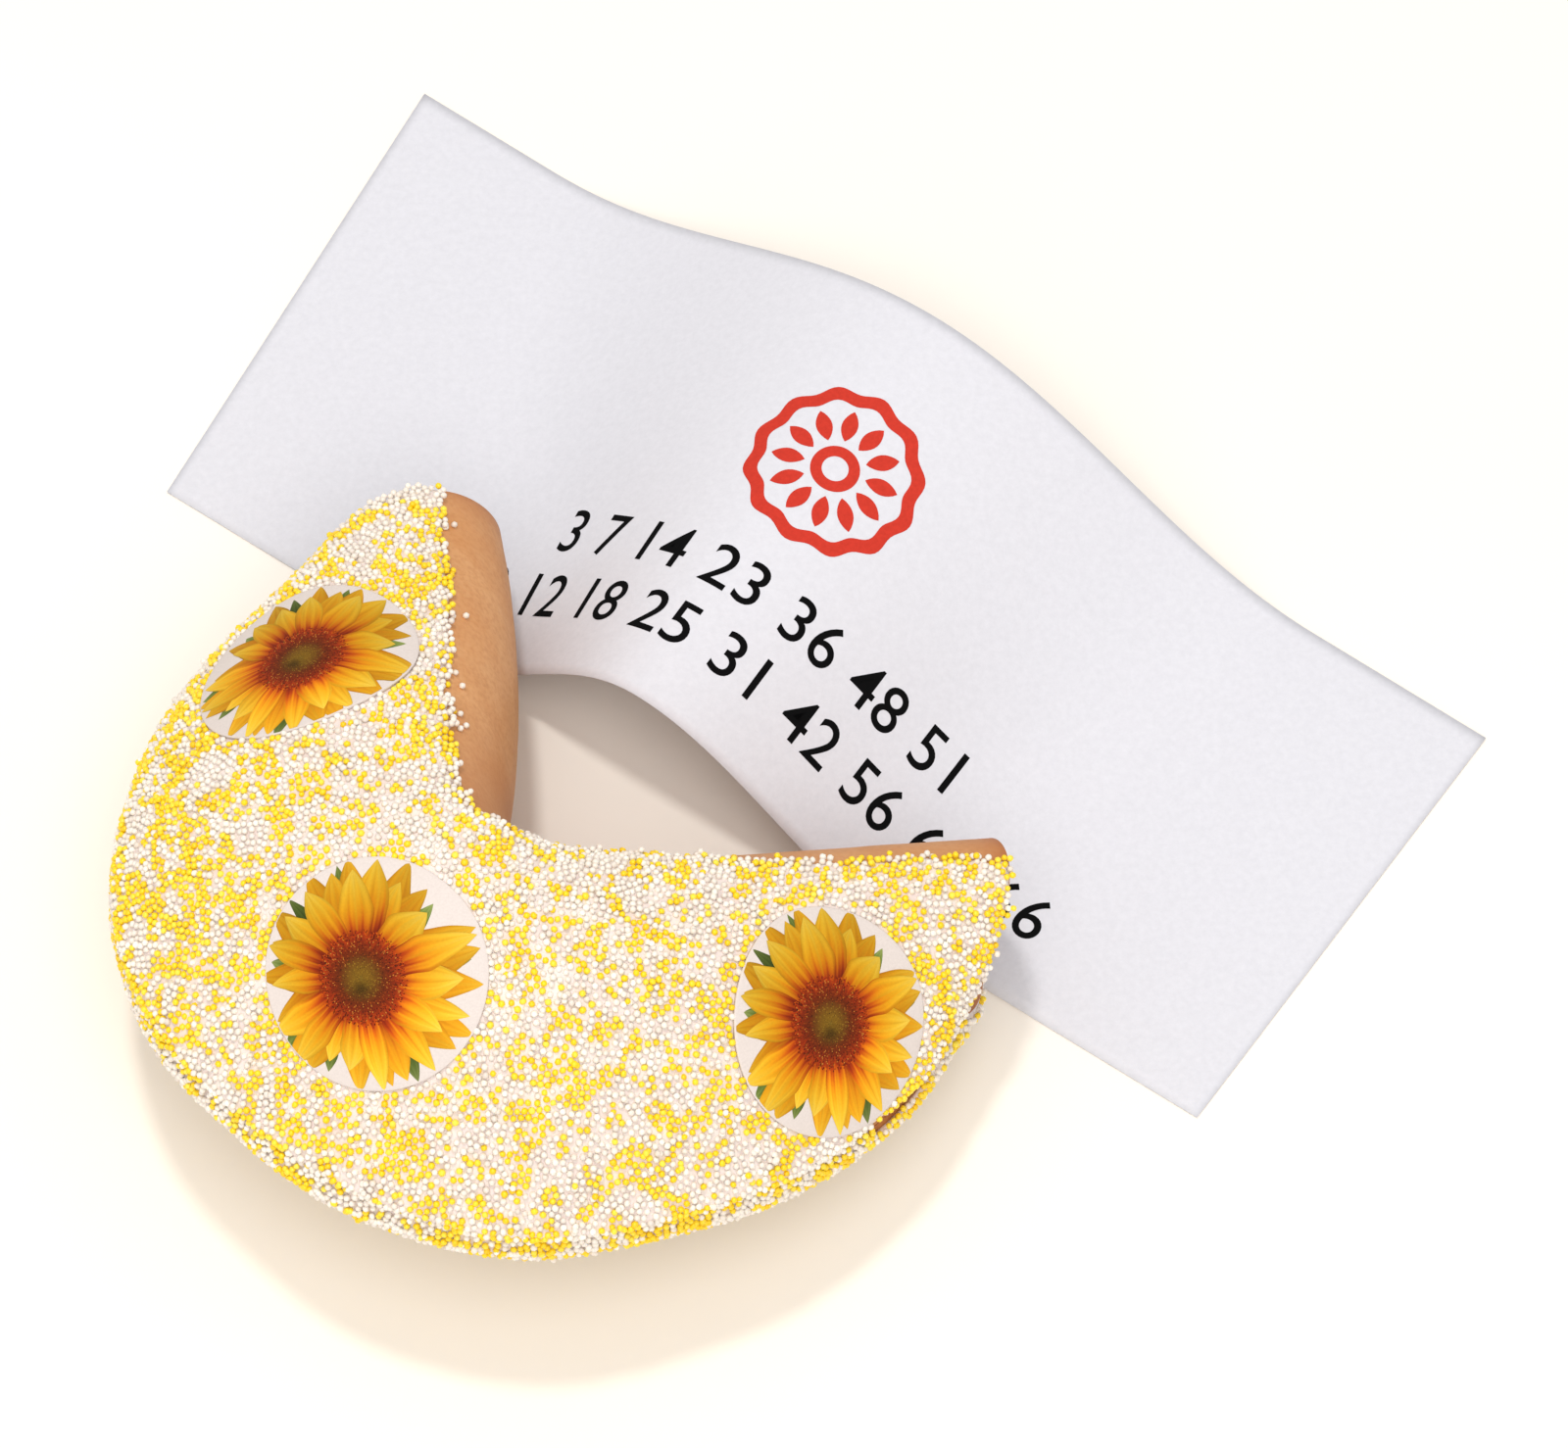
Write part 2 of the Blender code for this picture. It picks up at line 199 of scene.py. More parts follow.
# ------------------------------------------------------------------ small helpers
def add_mesh(name, verts, faces, mat, smooth=True, colors=None):
    me = bpy.data.meshes.new(name)
    verts = np.asarray(verts, np.float32)
    if isinstance(faces, np.ndarray):
        n, k = faces.shape
        me.vertices.add(len(verts))
        me.vertices.foreach_set("co", verts.reshape(-1))
        me.loops.add(n * k)
        me.loops.foreach_set("vertex_index", faces.astype(np.int32).reshape(-1))
        me.polygons.add(n)
        me.polygons.foreach_set("loop_start", np.arange(0, n * k, k, dtype=np.int32))
        me.polygons.foreach_set("loop_total", np.full(n, k, np.int32))
        me.update(calc_edges=True)
    else:
        me.from_pydata([tuple(v) for v in verts], [], faces)
    me.validate()
    if smooth:
        me.polygons.foreach_set("use_smooth", [True] * len(me.polygons))
    if colors is not None:
        att = me.color_attributes.new("tint", "FLOAT_COLOR", "POINT")
        att.data.foreach_set("color", np.asarray(colors, np.float32).reshape(-1))
    me.materials.append(mat)
    ob = bpy.data.objects.new(name, me)
    bpy.context.scene.collection.objects.link(ob)
    return ob


def grid_faces(n, m, base=0, flip=False, ring=False):
    i, j = np.meshgrid(np.arange(n - 1), np.arange(m if ring else m - 1), indexing="ij")
    k = (j + 1) % m
    q = np.stack([i * m + j, (i + 1) * m + j, (i + 1) * m + k, i * m + k], -1).reshape(-1, 4) + base
    return q[:, ::-1] if flip else q


def fbm(p, scale, octaves=4, seed=0.0):
    """Vectorised cheap value noise, about -1 to 1, on points (n, 3) in mm."""
    out = np.zeros(p.shape[:-1])
    amp, f = 1.0, 1.0 / scale
    for o in range(octaves):
        q = p * f + seed + 17.3 * o
        i = np.floor(q).astype(np.int64)
        w = q - i
        w = w * w * (3 - 2 * w)
        acc = 0.0
        for dx in (0, 1):
            for dy in (0, 1):
                for dz in (0, 1):
                    h = (i[..., 0] + dx) * 73856093 ^ (i[..., 1] + dy) * 19349663 ^ (i[..., 2] + dz) * 83492791
                    h = (h ^ (h >> 13)) * 1274126177
                    v = ((h ^ (h >> 16)) & 0xFFFF) / 32767.5 - 1.0
                    acc = acc + v * np.where(dx, w[..., 0], 1 - w[..., 0]) * np.where(dy, w[..., 1], 1 - w[..., 1]) \
                        * np.where(dz, w[..., 2], 1 - w[..., 2])
        out = out + amp * acc
        amp *= 0.5
        f *= 2.0
    return out / 1.6


# ------------------------------------------------------------------ materials
class Nodes:
    """Short hand for a material's node tree."""

    def __init__(self, name):
        self.mat = bpy.data.materials.new(name)
        self.mat.use_nodes = True
        self.t = self.mat.node_tree
        self.p = self.t.nodes["Principled BSDF"]

    def new(self, kind, **props):
        n = self.t.nodes.new(kind)
        for k, v in props.items():
            setattr(n, k, v)
        return n

    def link(self, a, b):
        self.t.links.new(a, b)

    def coords(self):
        return self.new("ShaderNodeTexCoord").outputs["Object"]

    def noise(self, vec, scale, detail=4.0, rough=0.55, distortion=0.0):
        n = self.new("ShaderNodeTexNoise")
        n.inputs["Scale"].default_value = scale
        n.inputs["Detail"].default_value = detail
        n.inputs["Roughness"].default_value = rough
        n.inputs["Distortion"].default_value = distortion
        self.link(vec, n.inputs["Vector"])
        return n.outputs["Fac"]

    def ramp(self, fac, stops, mode="LINEAR"):
        r = self.new("ShaderNodeValToRGB")
        r.color_ramp.interpolation = mode
        els = r.color_ramp.elements
        while len(els) < len(stops):
            els.new(0.5)
        for e, (pos, col) in zip(els, stops):
            e.position = pos
            e.color = (*col, 1) if len(col) == 3 else col
        self.link(fac, r.inputs["Fac"])
        return r.outputs["Color"]

    def mix(self, fac, a, b, mode="MIX"):
        m = self.new("ShaderNodeMix", data_type="RGBA", blend_type=mode)
        for sock, val in ((m.inputs["Factor"], fac), (m.inputs["A"], a), (m.inputs["B"], b)):
            if isinstance(val, bpy.types.NodeSocket):
                self.link(val, sock)
            elif isinstance(val, (int, float)):
                sock.default_value = val
            else:
                sock.default_value = (*val, 1)
        return m.outputs["Result"]

    def math(self, op, a, b=0.0, clamp=False):
        m = self.new("ShaderNodeMath", operation=op, use_clamp=clamp)
        for sock, val in zip(m.inputs, (a, b)):
            if isinstance(val, bpy.types.NodeSocket):
                self.link(val, sock)
            else:
                sock.default_value = val
        return m.outputs["Value"]

    def attr(self, name):
        n = self.new("ShaderNodeAttribute", attribute_name=name)
        return n

    def bump(self, height, strength, distance):
        b = self.new("ShaderNodeBump")
        b.inputs["Strength"].default_value = strength
        b.inputs["Distance"].default_value = distance
        self.link(height, b.inputs["Height"])
        self.link(b.outputs["Normal"], self.p.inputs["Normal"])
        return b

    def base(self, col):
        self.link(col, self.p.inputs["Base Color"])


def srgb(r, g, b):
    """0-255 display colour to linear."""
    return tuple(((c / 255 + 0.055) / 1.055) ** 2.4 if c > 10 else c / 3294 for c in (r, g, b))


def mat_biscuit():
    n = Nodes("biscuit_wafer")
    c = n.coords()
    tint = n.attr("tint").outputs["Color"]          # r: browned edges plus painted shade along the middle of the fold, g: toasted patches
    sep = n.new("ShaderNodeSeparateColor")
    n.link(tint, sep.inputs["Color"])
    body = n.ramp(n.noise(c, 28, 5, 0.6), [(0.30, srgb(196, 136, 83)), (0.52, srgb(213, 156, 103)), (0.75, srgb(223, 170, 118))])
    fine = n.ramp(n.noise(c, 900, 3, 0.6), [(0.36, srgb(184, 123, 74)), (0.50, srgb(214, 159, 108)), (0.68, srgb(228, 179, 131))])
    col = n.mix(0.28, body, fine)
    patches = n.math("MULTIPLY", sep.outputs["Green"], n.ramp(n.noise(c, 60, 4), [(0.4, (0, 0, 0)), (0.62, (1, 1, 1))]))
    col = n.mix(n.math("MULTIPLY", patches, 0.5), col, srgb(196, 126, 66))
    # the red tint darkens the wafer: real browned edges, plus painted shade along the middle of the fold
    col = n.mix(sep.outputs["Red"], col, srgb(176, 108, 58))
    n.base(col)
    n.p.inputs["Roughness"].default_value = 0.58
    n.p.inputs["Specular IOR Level"].default_value = 0.32
    n.p.inputs["Subsurface Weight"].default_value = 0.06
    n.p.inputs["Subsurface Radius"].default_value = (0.004, 0.002, 0.001)
    h = n.math("ADD", n.noise(c, 1100, 4, 0.6), n.math("MULTIPLY", n.noise(c, 160, 3), 1.6))
    n.bump(h, 0.35, 0.00025)
    return n.mat


def mat_icing():
    n = Nodes("icing_base")
    c = n.coords()
    col = n.ramp(n.noise(c, 120, 4), [(0.3, srgb(222, 206, 200)), (0.7, srgb(237, 226, 220))])
    n.base(col)
    n.p.inputs["Roughness"].default_value = 0.5
    n.p.inputs["Subsurface Weight"].default_value = 0.15
    n.p.inputs["Subsurface Radius"].default_value = (0.002, 0.0012, 0.0008)
    n.bump(n.noise(c, 900, 3), 0.4, 0.0003)
    return n.mat


def mat_bead(name, stops, sub):
    n = Nodes(name)
    c = n.coords()
    tint = n.attr("tint").outputs["Fac"]
    n.base(n.ramp(tint, stops))
    n.p.inputs["Roughness"].default_value = 0.38
    n.p.inputs["Specular IOR Level"].default_value = 0.45
    n.p.inputs["Subsurface Weight"].default_value = sub
    n.p.inputs["Subsurface Radius"].default_value = (0.0012, 0.0010, 0.0007)
    n.bump(n.noise(c, 3000, 2), 0.25, 0.00008)
    return n.mat


def mat_paper():
    n = Nodes("paper_slip")
    c = n.coords()
    col = n.ramp(n.noise(c, 700, 5, 0.7), [(0.3, srgb(209, 209, 216)), (0.7, srgb(217, 217, 224))])
    n.base(col)
    n.p.inputs["Roughness"].default_value = 0.75
    n.p.inputs["Specular IOR Level"].default_value = 0.2
    n.bump(n.noise(c, 1500, 4, 0.7), 0.2, 0.00005)
    return n.mat


def mat_plain(name, rgb, rough=0.5, spec=0.4):
    n = Nodes(name)
    c = n.coords()
    d = tuple(max(0.0, v * 0.86) for v in rgb)
    n.base(n.ramp(n.noise(c, 1200, 3), [(0.3, d), (0.7, rgb)]))
    n.p.inputs["Roughness"].default_value = rough
    n.p.inputs["Specular IOR Level"].default_value = spec
    return n.mat


def mat_print():
    """Edible print: colours come with the mesh, under a faint wafer-paper grain."""
    n = Nodes("edible_print")
    c = n.coords()
    tint = n.attr("tint").outputs["Color"]
    grain = n.ramp(n.noise(c, 2200, 3, 0.7), [(0.3, (0.90, 0.90, 0.90)), (0.7, (1.0, 1.0, 1.0))])
    n.base(n.mix(1.0, tint, grain, "MULTIPLY"))
    n.p.inputs["Roughness"].default_value = 0.7
    n.p.inputs["Specular IOR Level"].default_value = 0.12
    n.bump(n.noise(c, 1400, 3), 0.15, 0.0001)
    return n.mat


BISCUIT = mat_biscuit()
ICING = mat_icing()
WHITE = mat_bead("bead_white", [(0.0, srgb(221, 209, 198)), (0.5, srgb(236, 227, 216)), (1.0, srgb(247, 241, 232))], 0.25)
YELLOW = mat_bead("bead_yellow", [(0.0, srgb(241, 196, 8)), (0.5, srgb(250, 213, 22)), (1.0, srgb(253, 229, 80))], 0.15)
PAPER = mat_paper()
INK = mat_plain("ink_black", srgb(14, 14, 15), 0.95, 0.05)
RED = mat_plain("ink_red", srgb(202, 58, 44), 0.8, 0.1)
PRINT = mat_print()


# ------------------------------------------------------------------ biscuit
def build_biscuit():
    nt, ns = 190, 150
    t = np.linspace(0, 1, nt)
    s = np.linspace(-1, 1, ns)
    T, S = np.meshgrid(t, s, indexing="ij")
    P = surface(T, S)
    N = normal(T, S)
    q = 2 * T - 1
    lump = fbm(P, 16.0, 3, 3.1) * 0.18 + fbm(P, 4.0, 2, 8.0) * 0.06
    edge = np.minimum(1, np.minimum(np.abs(1 - np.abs(S)) * 40, np.minimum(T, 1 - T) * 120))
    outer = P + N * np.minimum(lump * edge, 0.16)[..., None]
    inner = P - N * (WAFER + 0.15 * fbm(P, 9.0, 2, 5.0))[..., None]
    W = np.concatenate([to_world(outer).reshape(-1, 3), to_world(inner).reshape(-1, 3)])
    f1 = grid_faces(nt, ns, 0, flip=True)
    f2 = grid_faces(nt, ns, nt * ns, flip=False)
    rim = []
    border = [(i, 0) for i in range(nt)] + [(nt - 1, j) for j in range(1, ns)] \
        + [(i, ns - 1) for i in range(nt - 2, -1, -1)] + [(0, j) for j in range(ns - 2, 0, -1)]
    idx = [i * ns + j for i, j in border]
    for a, b in zip(idx, idx[1:] + idx[:1]):
        rim.append((a, b, b + nt * ns, a + nt * ns))
    faces = np.concatenate([f1, f2, np.array(rim)])
    browning_and_fold_shade = np.exp(-np.minimum(T, 1 - T) * 90) * 0.75 + np.exp(-(1 - np.abs(S)) * 30) * 0.5
    low = np.clip((T - 0.17) / 0.22, 0, 1) * np.clip((0.66 - T) / 0.1, 0, 1)      # painted shade: the middle of the fold, which lies in shadow, is made darker
    low = 0.50 * low * low * (3 - 2 * low) + 0.24 * np.clip((T - 0.6) / 0.1, 0, 1)
    # real edge browning and the painted fold shade share one red tint
    browning_and_fold_shade = np.clip(browning_and_fold_shade + 0.12 * fbm(P, 10, 3, 1.0) + low, 0, 1)
    tint = np.zeros((2, nt, ns, 4))
    tint[..., 3] = 1
    tint[0, ..., 0] = browning_and_fold_shade
    tint[0, ..., 1] = np.clip(0.5 + 0.5 * fbm(P, 22, 3, 2.0), 0, 1)
    tint[1, ..., 0] = np.clip(browning_and_fold_shade + 0.25, 0, 1)
    tint[1, ..., 1] = 0.6
    ob = add_mesh("biscuit_wafer", W, faces, BISCUIT, colors=tint.reshape(-1, 4))
    bm = bmesh.new()
    bm.from_mesh(ob.data)
    bmesh.ops.recalc_face_normals(bm, faces=bm.faces)
    bm.to_mesh(ob.data)
    bm.free()
    mod = ob.modifiers.new("rounded_edges", "BEVEL")
    mod.width = 0.0004
    mod.segments = 2
    mod.limit_method = "ANGLE"
    mod.angle_limit = radians(50)
    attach(ob, "root")
    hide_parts("cookie_shell")
    return ob


# ------------------------------------------------------------------ where a printed disc lies
def disc_frame(t0, s0):
    c = surface(t0, s0)
    n = normal(t0, s0)
    b = unit(surface(t0 + 1e-3, s0) - surface(t0 - 1e-3, s0))
    b = unit(b - n * (b @ n))
    a = np.cross(b, n)
    return c, n, a, b


def on_disc(pts2, t0, s0, iters=10):
    """(t, s) of points given as mm offsets in the disc's tangent plane. pts2 is (n, 2)."""
    c, n, a, b = disc_frame(t0, s0)
    t = np.full(len(pts2), t0, float)
    s = np.full(len(pts2), s0, float)
    h = 1e-4
    for _ in range(iters):
        d = surface(t, s) - c
        r0 = pts2[:, 0] - d @ a
        r1 = pts2[:, 1] - d @ b
        ds = (surface(t, s + h) - surface(t, s - h)) / (2 * h)
        dt = (surface(t + h, s) - surface(t - h, s)) / (2 * h)
        j11, j12, j21, j22 = dt @ a, ds @ a, dt @ b, ds @ b
        det = j11 * j22 - j12 * j21
        t = t + (r0 * j22 - r1 * j12) / det
        s = s + (j11 * r1 - j21 * r0) / det
        t = np.clip(t, 0.002, 0.998)
        s = np.clip(s, 0.05, 0.98)
    return t, s


# ------------------------------------------------------------------ icing under the beads
def icing_profile(f):
    """Height of the icing across the cheek, f from the band's edge (0) to the lip (1)."""
    return 1.15 * np.clip(f / 0.03, 0, 1) ** 0.5


def coat_edge(t, sign):
    """The s at which the coat starts, beside the bare band."""
    w = wobble(t, 11 if sign > 0 else 12, (5, 0.45), (13, 0.35), (31, 0.3), (60, 0.22))
    return band_s(t, w)


def build_icing(sign):
    nt, ns = 220, 70
    t = np.linspace(0.0015, 0.9985, nt)
    e = coat_edge(t, sign)[:, None]
    f = np.linspace(0, 1, ns)[None]
    S = (e + (1 - e) * f) * sign
    T = np.repeat(t[:, None], ns, 1)
    P = surface(T, S)
    N = normal(T, S)
    h = icing_profile(f) * np.clip(np.minimum(T, 1 - T) / 0.004, 0.3, 1)
    h = h + 0.12 * fbm(P, 5.0, 3, 4.0) * np.clip(f / 0.05, 0, 1)
    top = P + N * h[..., None]
    # round the lip: out past the wafer's cut edge and a little way in
    tan = lip_tangent(t, sign)
    edge = P[:, -1]
    en = N[:, -1]
    turn = []
    for k in range(1, 6):
        a = k / 5 * radians(100)
        turn.append(edge + tan * sin(a) + en * (1.15 * cos(a) - 0.5 * (1 - cos(a))))
    turn.append(edge + tan * 0.1 - en * 0.9)
    rows = np.concatenate([top, np.stack(turn, 1)], 1)
    under = P - N * 0.08
    full = np.concatenate([rows, under[:, ::-1][:, 1:]], 1)
    m = full.shape[1]
    V = to_world(full).reshape(-1, 3)
    V[:, 2] = np.maximum(V[:, 2], 0.0004)
    faces = [tuple(r) for r in grid_faces(nt, m, 0, ring=True)]
    faces.append(tuple(range(m)))
    faces.append(tuple((nt - 1) * m + j for j in range(m))[::-1])
    ob = add_mesh("icing_front" if sign > 0 else "icing_back", V, faces, ICING)
    bm = bmesh.new()
    bm.from_mesh(ob.data)
    bmesh.ops.recalc_face_normals(bm, faces=bm.faces)
    bm.to_mesh(ob.data)
    bm.free()
    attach(ob, "root")
    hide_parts("coat_front" if sign > 0 else "coat_back")
    return ob


# ------------------------------------------------------------------ sugar beads
BEAD_R = 0.705


def bead_candidates(sign, rng, count):
    """Random points all over one side's icing and round its lip: cookie-frame points, normals, t, s and which lie on
    the lip.
    """
    nt, ns = 160, 90
    t = np.linspace(0.001, 0.999, nt + 1)
    e = coat_edge(t, sign)
    f = np.linspace(0, 1, ns + 1)
    S = (e[:, None] + (1 - e[:, None]) * f[None]) * sign
    T = np.repeat(t[:, None], ns + 1, 1)
    P = surface(T, S)
    du = P[1:, :-1] - P[:-1, :-1]
    dv = P[:-1, 1:] - P[:-1, :-1]
    area = np.linalg.norm(np.cross(du, dv), axis=-1)
    # a strip round the lip, as wide as the rounded edge
    edge_len = np.linalg.norm(P[1:, -1] - P[:-1, -1], axis=-1)
    wrap_w = 3.2
    total = area.sum() + edge_len.sum() * wrap_w
    n_face = int(count * area.sum() / total)
    n_wrap = count - n_face
    cell = rng.choice(area.size, n_face, p=(area / area.sum()).reshape(-1))
    i, j = np.divmod(cell, ns)
    ft = (i + rng.random(n_face)) / nt
    tt = 0.001 + 0.998 * ft
    ff = (j + rng.random(n_face)) / ns
    ee = coat_edge(tt, sign)
    ss = (ee + (1 - ee) * ff) * sign
    pos = surface(tt, ss)
    nor = normal(tt, ss)
    k = rng.choice(nt, n_wrap, p=edge_len / edge_len.sum())
    wt = 0.001 + 0.998 * (k + rng.random(n_wrap)) / nt
    ang = rng.random(n_wrap) * radians(112)
    one = np.full(n_wrap, float(sign))
    epos, en, et = surface(wt, one), normal(wt, one), lip_tangent(wt, sign)
    c, s_ = np.cos(ang)[:, None], np.sin(ang)[:, None]
    wn = en * c + et * s_
    # icing's rounded edge under the bead, minus the lift the bead gets later
    wpos = epos - et * (0.15 * s_) - en * (0.5 * (1 - c))
    P_all = np.concatenate([pos, wpos])
    N_all = np.concatenate([nor, wn])
    tt = np.concatenate([tt, wt])
    ss = np.concatenate([ss, one])
    wrapped = np.concatenate([np.zeros(n_face, bool), np.ones(n_wrap, bool)])
    order = rng.permutation(len(P_all))
    return P_all[order], N_all[order], tt[order], ss[order], wrapped[order]


def spread(points, gap, limit=None, taken=None):
    """Keeps points at least gap apart, in order (a cell hash). Returns kept indices."""
    cells = {}
    if taken is not None:
        for p in taken:
            cells.setdefault(tuple((p // gap).astype(int)), []).append(p)
    keep = []
    g2 = gap * gap
    keys = np.floor(points / gap).astype(int)
    for n in range(len(points)):
        x, y, z = points[n]
        cx, cy, cz = keys[n]
        ok = True
        for a in (cx - 1, cx, cx + 1):
            for b in (cy - 1, cy, cy + 1):
                for c in (cz - 1, cz, cz + 1):
                    for o in cells.get((a, b, c), ()):
                        if (o[0] - x) ** 2 + (o[1] - y) ** 2 + (o[2] - z) ** 2 < g2:
                            ok = False
                            break
                    if not ok:
                        break
                if not ok:
                    break
            if not ok:
                break
        if ok:
            cells.setdefault((cx, cy, cz), []).append((x, y, z))
            keep.append(n)
            if limit and len(keep) >= limit:
                break
    return np.array(keep, int)


def relax(P, N, rounds, want):
    """Pushes neighbours apart in the surface's own plane, a little each round."""
    P = P.copy()
    for _ in range(rounds):
        tree = KDTree(len(P))
        for i, p in enumerate(P):
            tree.insert(p, i)
        tree.balance()
        move = np.zeros_like(P)
        for i, p in enumerate(P):
            acc = np.zeros(3)
            for co, j, d in tree.find_range(p, want):
                if j != i and d > 1e-6:
                    acc += (p - np.array(co)) / d * (want - d)
            move[i] = acc
        move -= N * (move * N).sum(-1, keepdims=True)
        step = np.linalg.norm(move, axis=-1, keepdims=True)
        P += move * np.minimum(0.28, 0.25 / np.maximum(step, 1e-9))
    return P


def octasphere():
    v = [(1, 0, 0), (-1, 0, 0), (0, 1, 0), (0, -1, 0), (0, 0, 1), (0, 0, -1)]
    f = [(0, 2, 4), (2, 1, 4), (1, 3, 4), (3, 0, 4), (2, 0, 5), (1, 2, 5), (3, 1, 5), (0, 3, 5)]
    v = [np.array(p, float) for p in v]
    mid = {}
    out = []
    for a, b, c in f:
        m = []
        for p, q in ((a, b), (b, c), (c, a)):
            k = (min(p, q), max(p, q))
            if k not in mid:
                mid[k] = len(v)
                v.append(unit(v[p] + v[q]))
            m.append(mid[k])
        out += [(a, m[0], m[2]), (b, m[1], m[0]), (c, m[2], m[1]), (m[0], m[1], m[2])]
    return np.array(v), np.array(out)


BALL_V, BALL_F = octasphere()


def build_beads(name, centres, radii, mat, rng, low=0.0):
    """Little sugar balls as one mesh, each turned its own way, with its own tint."""
    n = len(centres)
    qn = unit(rng.normal(size=(n, 4)))
    w, x, y, z = qn.T
    R = np.stack([1 - 2 * (y * y + z * z), 2 * (x * y - w * z), 2 * (x * z + w * y),
                  2 * (x * y + w * z), 1 - 2 * (x * x + z * z), 2 * (y * z - w * x),
                  2 * (x * z - w * y), 2 * (y * z + w * x), 1 - 2 * (x * x + y * y)], -1).reshape(n, 3, 3)
    shape = 1 + rng.normal(0, 0.045, size=(n, 1, 3))
    V = np.einsum("nij,nkj->nki", R, BALL_V[None] * shape) * radii[:, None, None] + centres[:, None]
    F = BALL_F[None] + (np.arange(n) * len(BALL_V))[:, None, None]
    tone = np.clip(rng.normal(0.55, 0.2, n), 0, 1) * (1 - low)
    col = np.repeat(np.stack([tone, tone, tone, np.ones(n)], -1)[:, None], len(BALL_V), 1)
    V = to_world(V.reshape(-1, 3)).reshape(n, -1, 3)
    low_z = V[..., 2].min(1)
    V[..., 2] += np.maximum(0.00005 - low_z, 0)[:, None]      # those on the table rest on it
    ob = add_mesh(name, V.reshape(-1, 3), F.reshape(-1, 3), mat, colors=col.reshape(-1, 4))
    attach(ob, "root")
    return ob


def cover_with_beads(sign):
    rng = np.random.default_rng(SEED + (1 if sign > 0 else 2))
    P, N, T, S, W = bead_candidates(sign, rng, 120000)
    ok = np.ones(len(P), bool)
    if sign > 0:
        for _, t0, s0 in DISCS:
            c, n, a, b = disc_frame(t0, s0)
            d = P - c
            r = np.hypot(d @ a, d @ b)
            ok &= ~((r < DISC_R + 0.35 + 0.15 * rng.random(len(P))) & (np.abs(d @ n) < 12))
    P, N, T, S, W = P[ok], N[ok], T[ok], S[ok], W[ok]
    keep = spread(P + N * 1.42, 1.14)
    P, N, T, S, W = P[keep], N[keep], T[keep], S[keep], W[keep]
    P = relax(P + N * 1.42, N, 9, 1.41) - N * 1.42
    lift = 1.42 + np.clip(rng.normal(0, 0.13, len(P)), -0.35, 0.28)
    lift[W] = np.minimum(lift[W], 1.45)
    C = P + N * lift[:, None]
    r = BEAD_R * rng.uniform(0.93, 1.07, len(P))
    # a few lie on top of the others
    extra = rng.choice(len(P), int(len(P) * 0.045), replace=False)
    side = rng.normal(size=(len(extra), 3))
    side -= N[extra] * (side * N[extra]).sum(-1, keepdims=True)
    top = P[extra] + unit(side) * 0.7 + N[extra] * rng.uniform(2.0, 2.25, len(extra))[:, None]
    inside = ~W[extra]
    for _, t0, s0 in DISCS if sign > 0 else ():
        c, n, a, b = disc_frame(t0, s0)
        d = top - c
        inside &= ~((np.hypot(d @ a, d @ b) < DISC_R + 0.6) & (np.abs(d @ n) < 12))
    C = np.concatenate([C, top[inside]])
    r = np.concatenate([r, BEAD_R * rng.uniform(0.9, 1.02, int(inside.sum()))])
    # strays that stuck to the bare biscuit beside the coat
    k = 46
    st = rng.uniform(0.02, 0.98, k)
    ss = coat_edge(st, sign) * sign - sign * rng.exponential(0.9, k) * 0.012
    C = np.concatenate([C, surface(st, ss) + normal(st, ss) * 0.62])
    r = np.concatenate([r, np.full(k, BEAD_R * 0.97)])
    # colours in small clumps and chains
    field = fbm(C, 2.8, 2, 40.0) + 0.25 * fbm(C, 9.0, 2, 90.0) + rng.normal(0, 0.21, len(C))
    share = 0.445
    yellow = field > np.quantile(field, 1 - share)
    tag = "front" if sign > 0 else "back"
    made = []
    wi = np.flatnonzero(~yellow)
    mid = np.quantile(C[wi, 0], (1 / 3, 2 / 3))
    part = np.digitize(C[wi, 0], mid)
    for p in range(3):
        sel = wi[part == p]
        made.append(build_beads(f"beads_white_{tag}_{'abc'[p]}", C[sel], r[sel], WHITE, rng))
    yi = np.flatnonzero(yellow)
    made.append(build_beads(f"beads_yellow_{tag}", C[yi], r[yi], YELLOW, rng))
    print("beads", tag, len(C), "yellow", len(yi))
    return made


# ------------------------------------------------------------------ the seam where the two lips meet
SEAM_OPEN = 0.885              # beyond this the lips stand apart


def seam_points(t, v, out):
    """Points between the back lip (v = -1) and the front lip (v = 1), out mm past the edges."""
    f, b = surface(t, np.ones_like(t)), surface(t, -np.ones_like(t))
    o = unit(lip_tangent(t, 1.0) * np.array([1, 1, 0.0]))
    p = f * ((1 + v) / 2)[..., None] + b * ((1 - v) / 2)[..., None]
    n = unit(o + np.array([0, 0, 0.55]) * v[..., None])
    return p + o * (out * np.sqrt(np.clip(1 - 0.5 * v * v, 0, 1)))[..., None], n


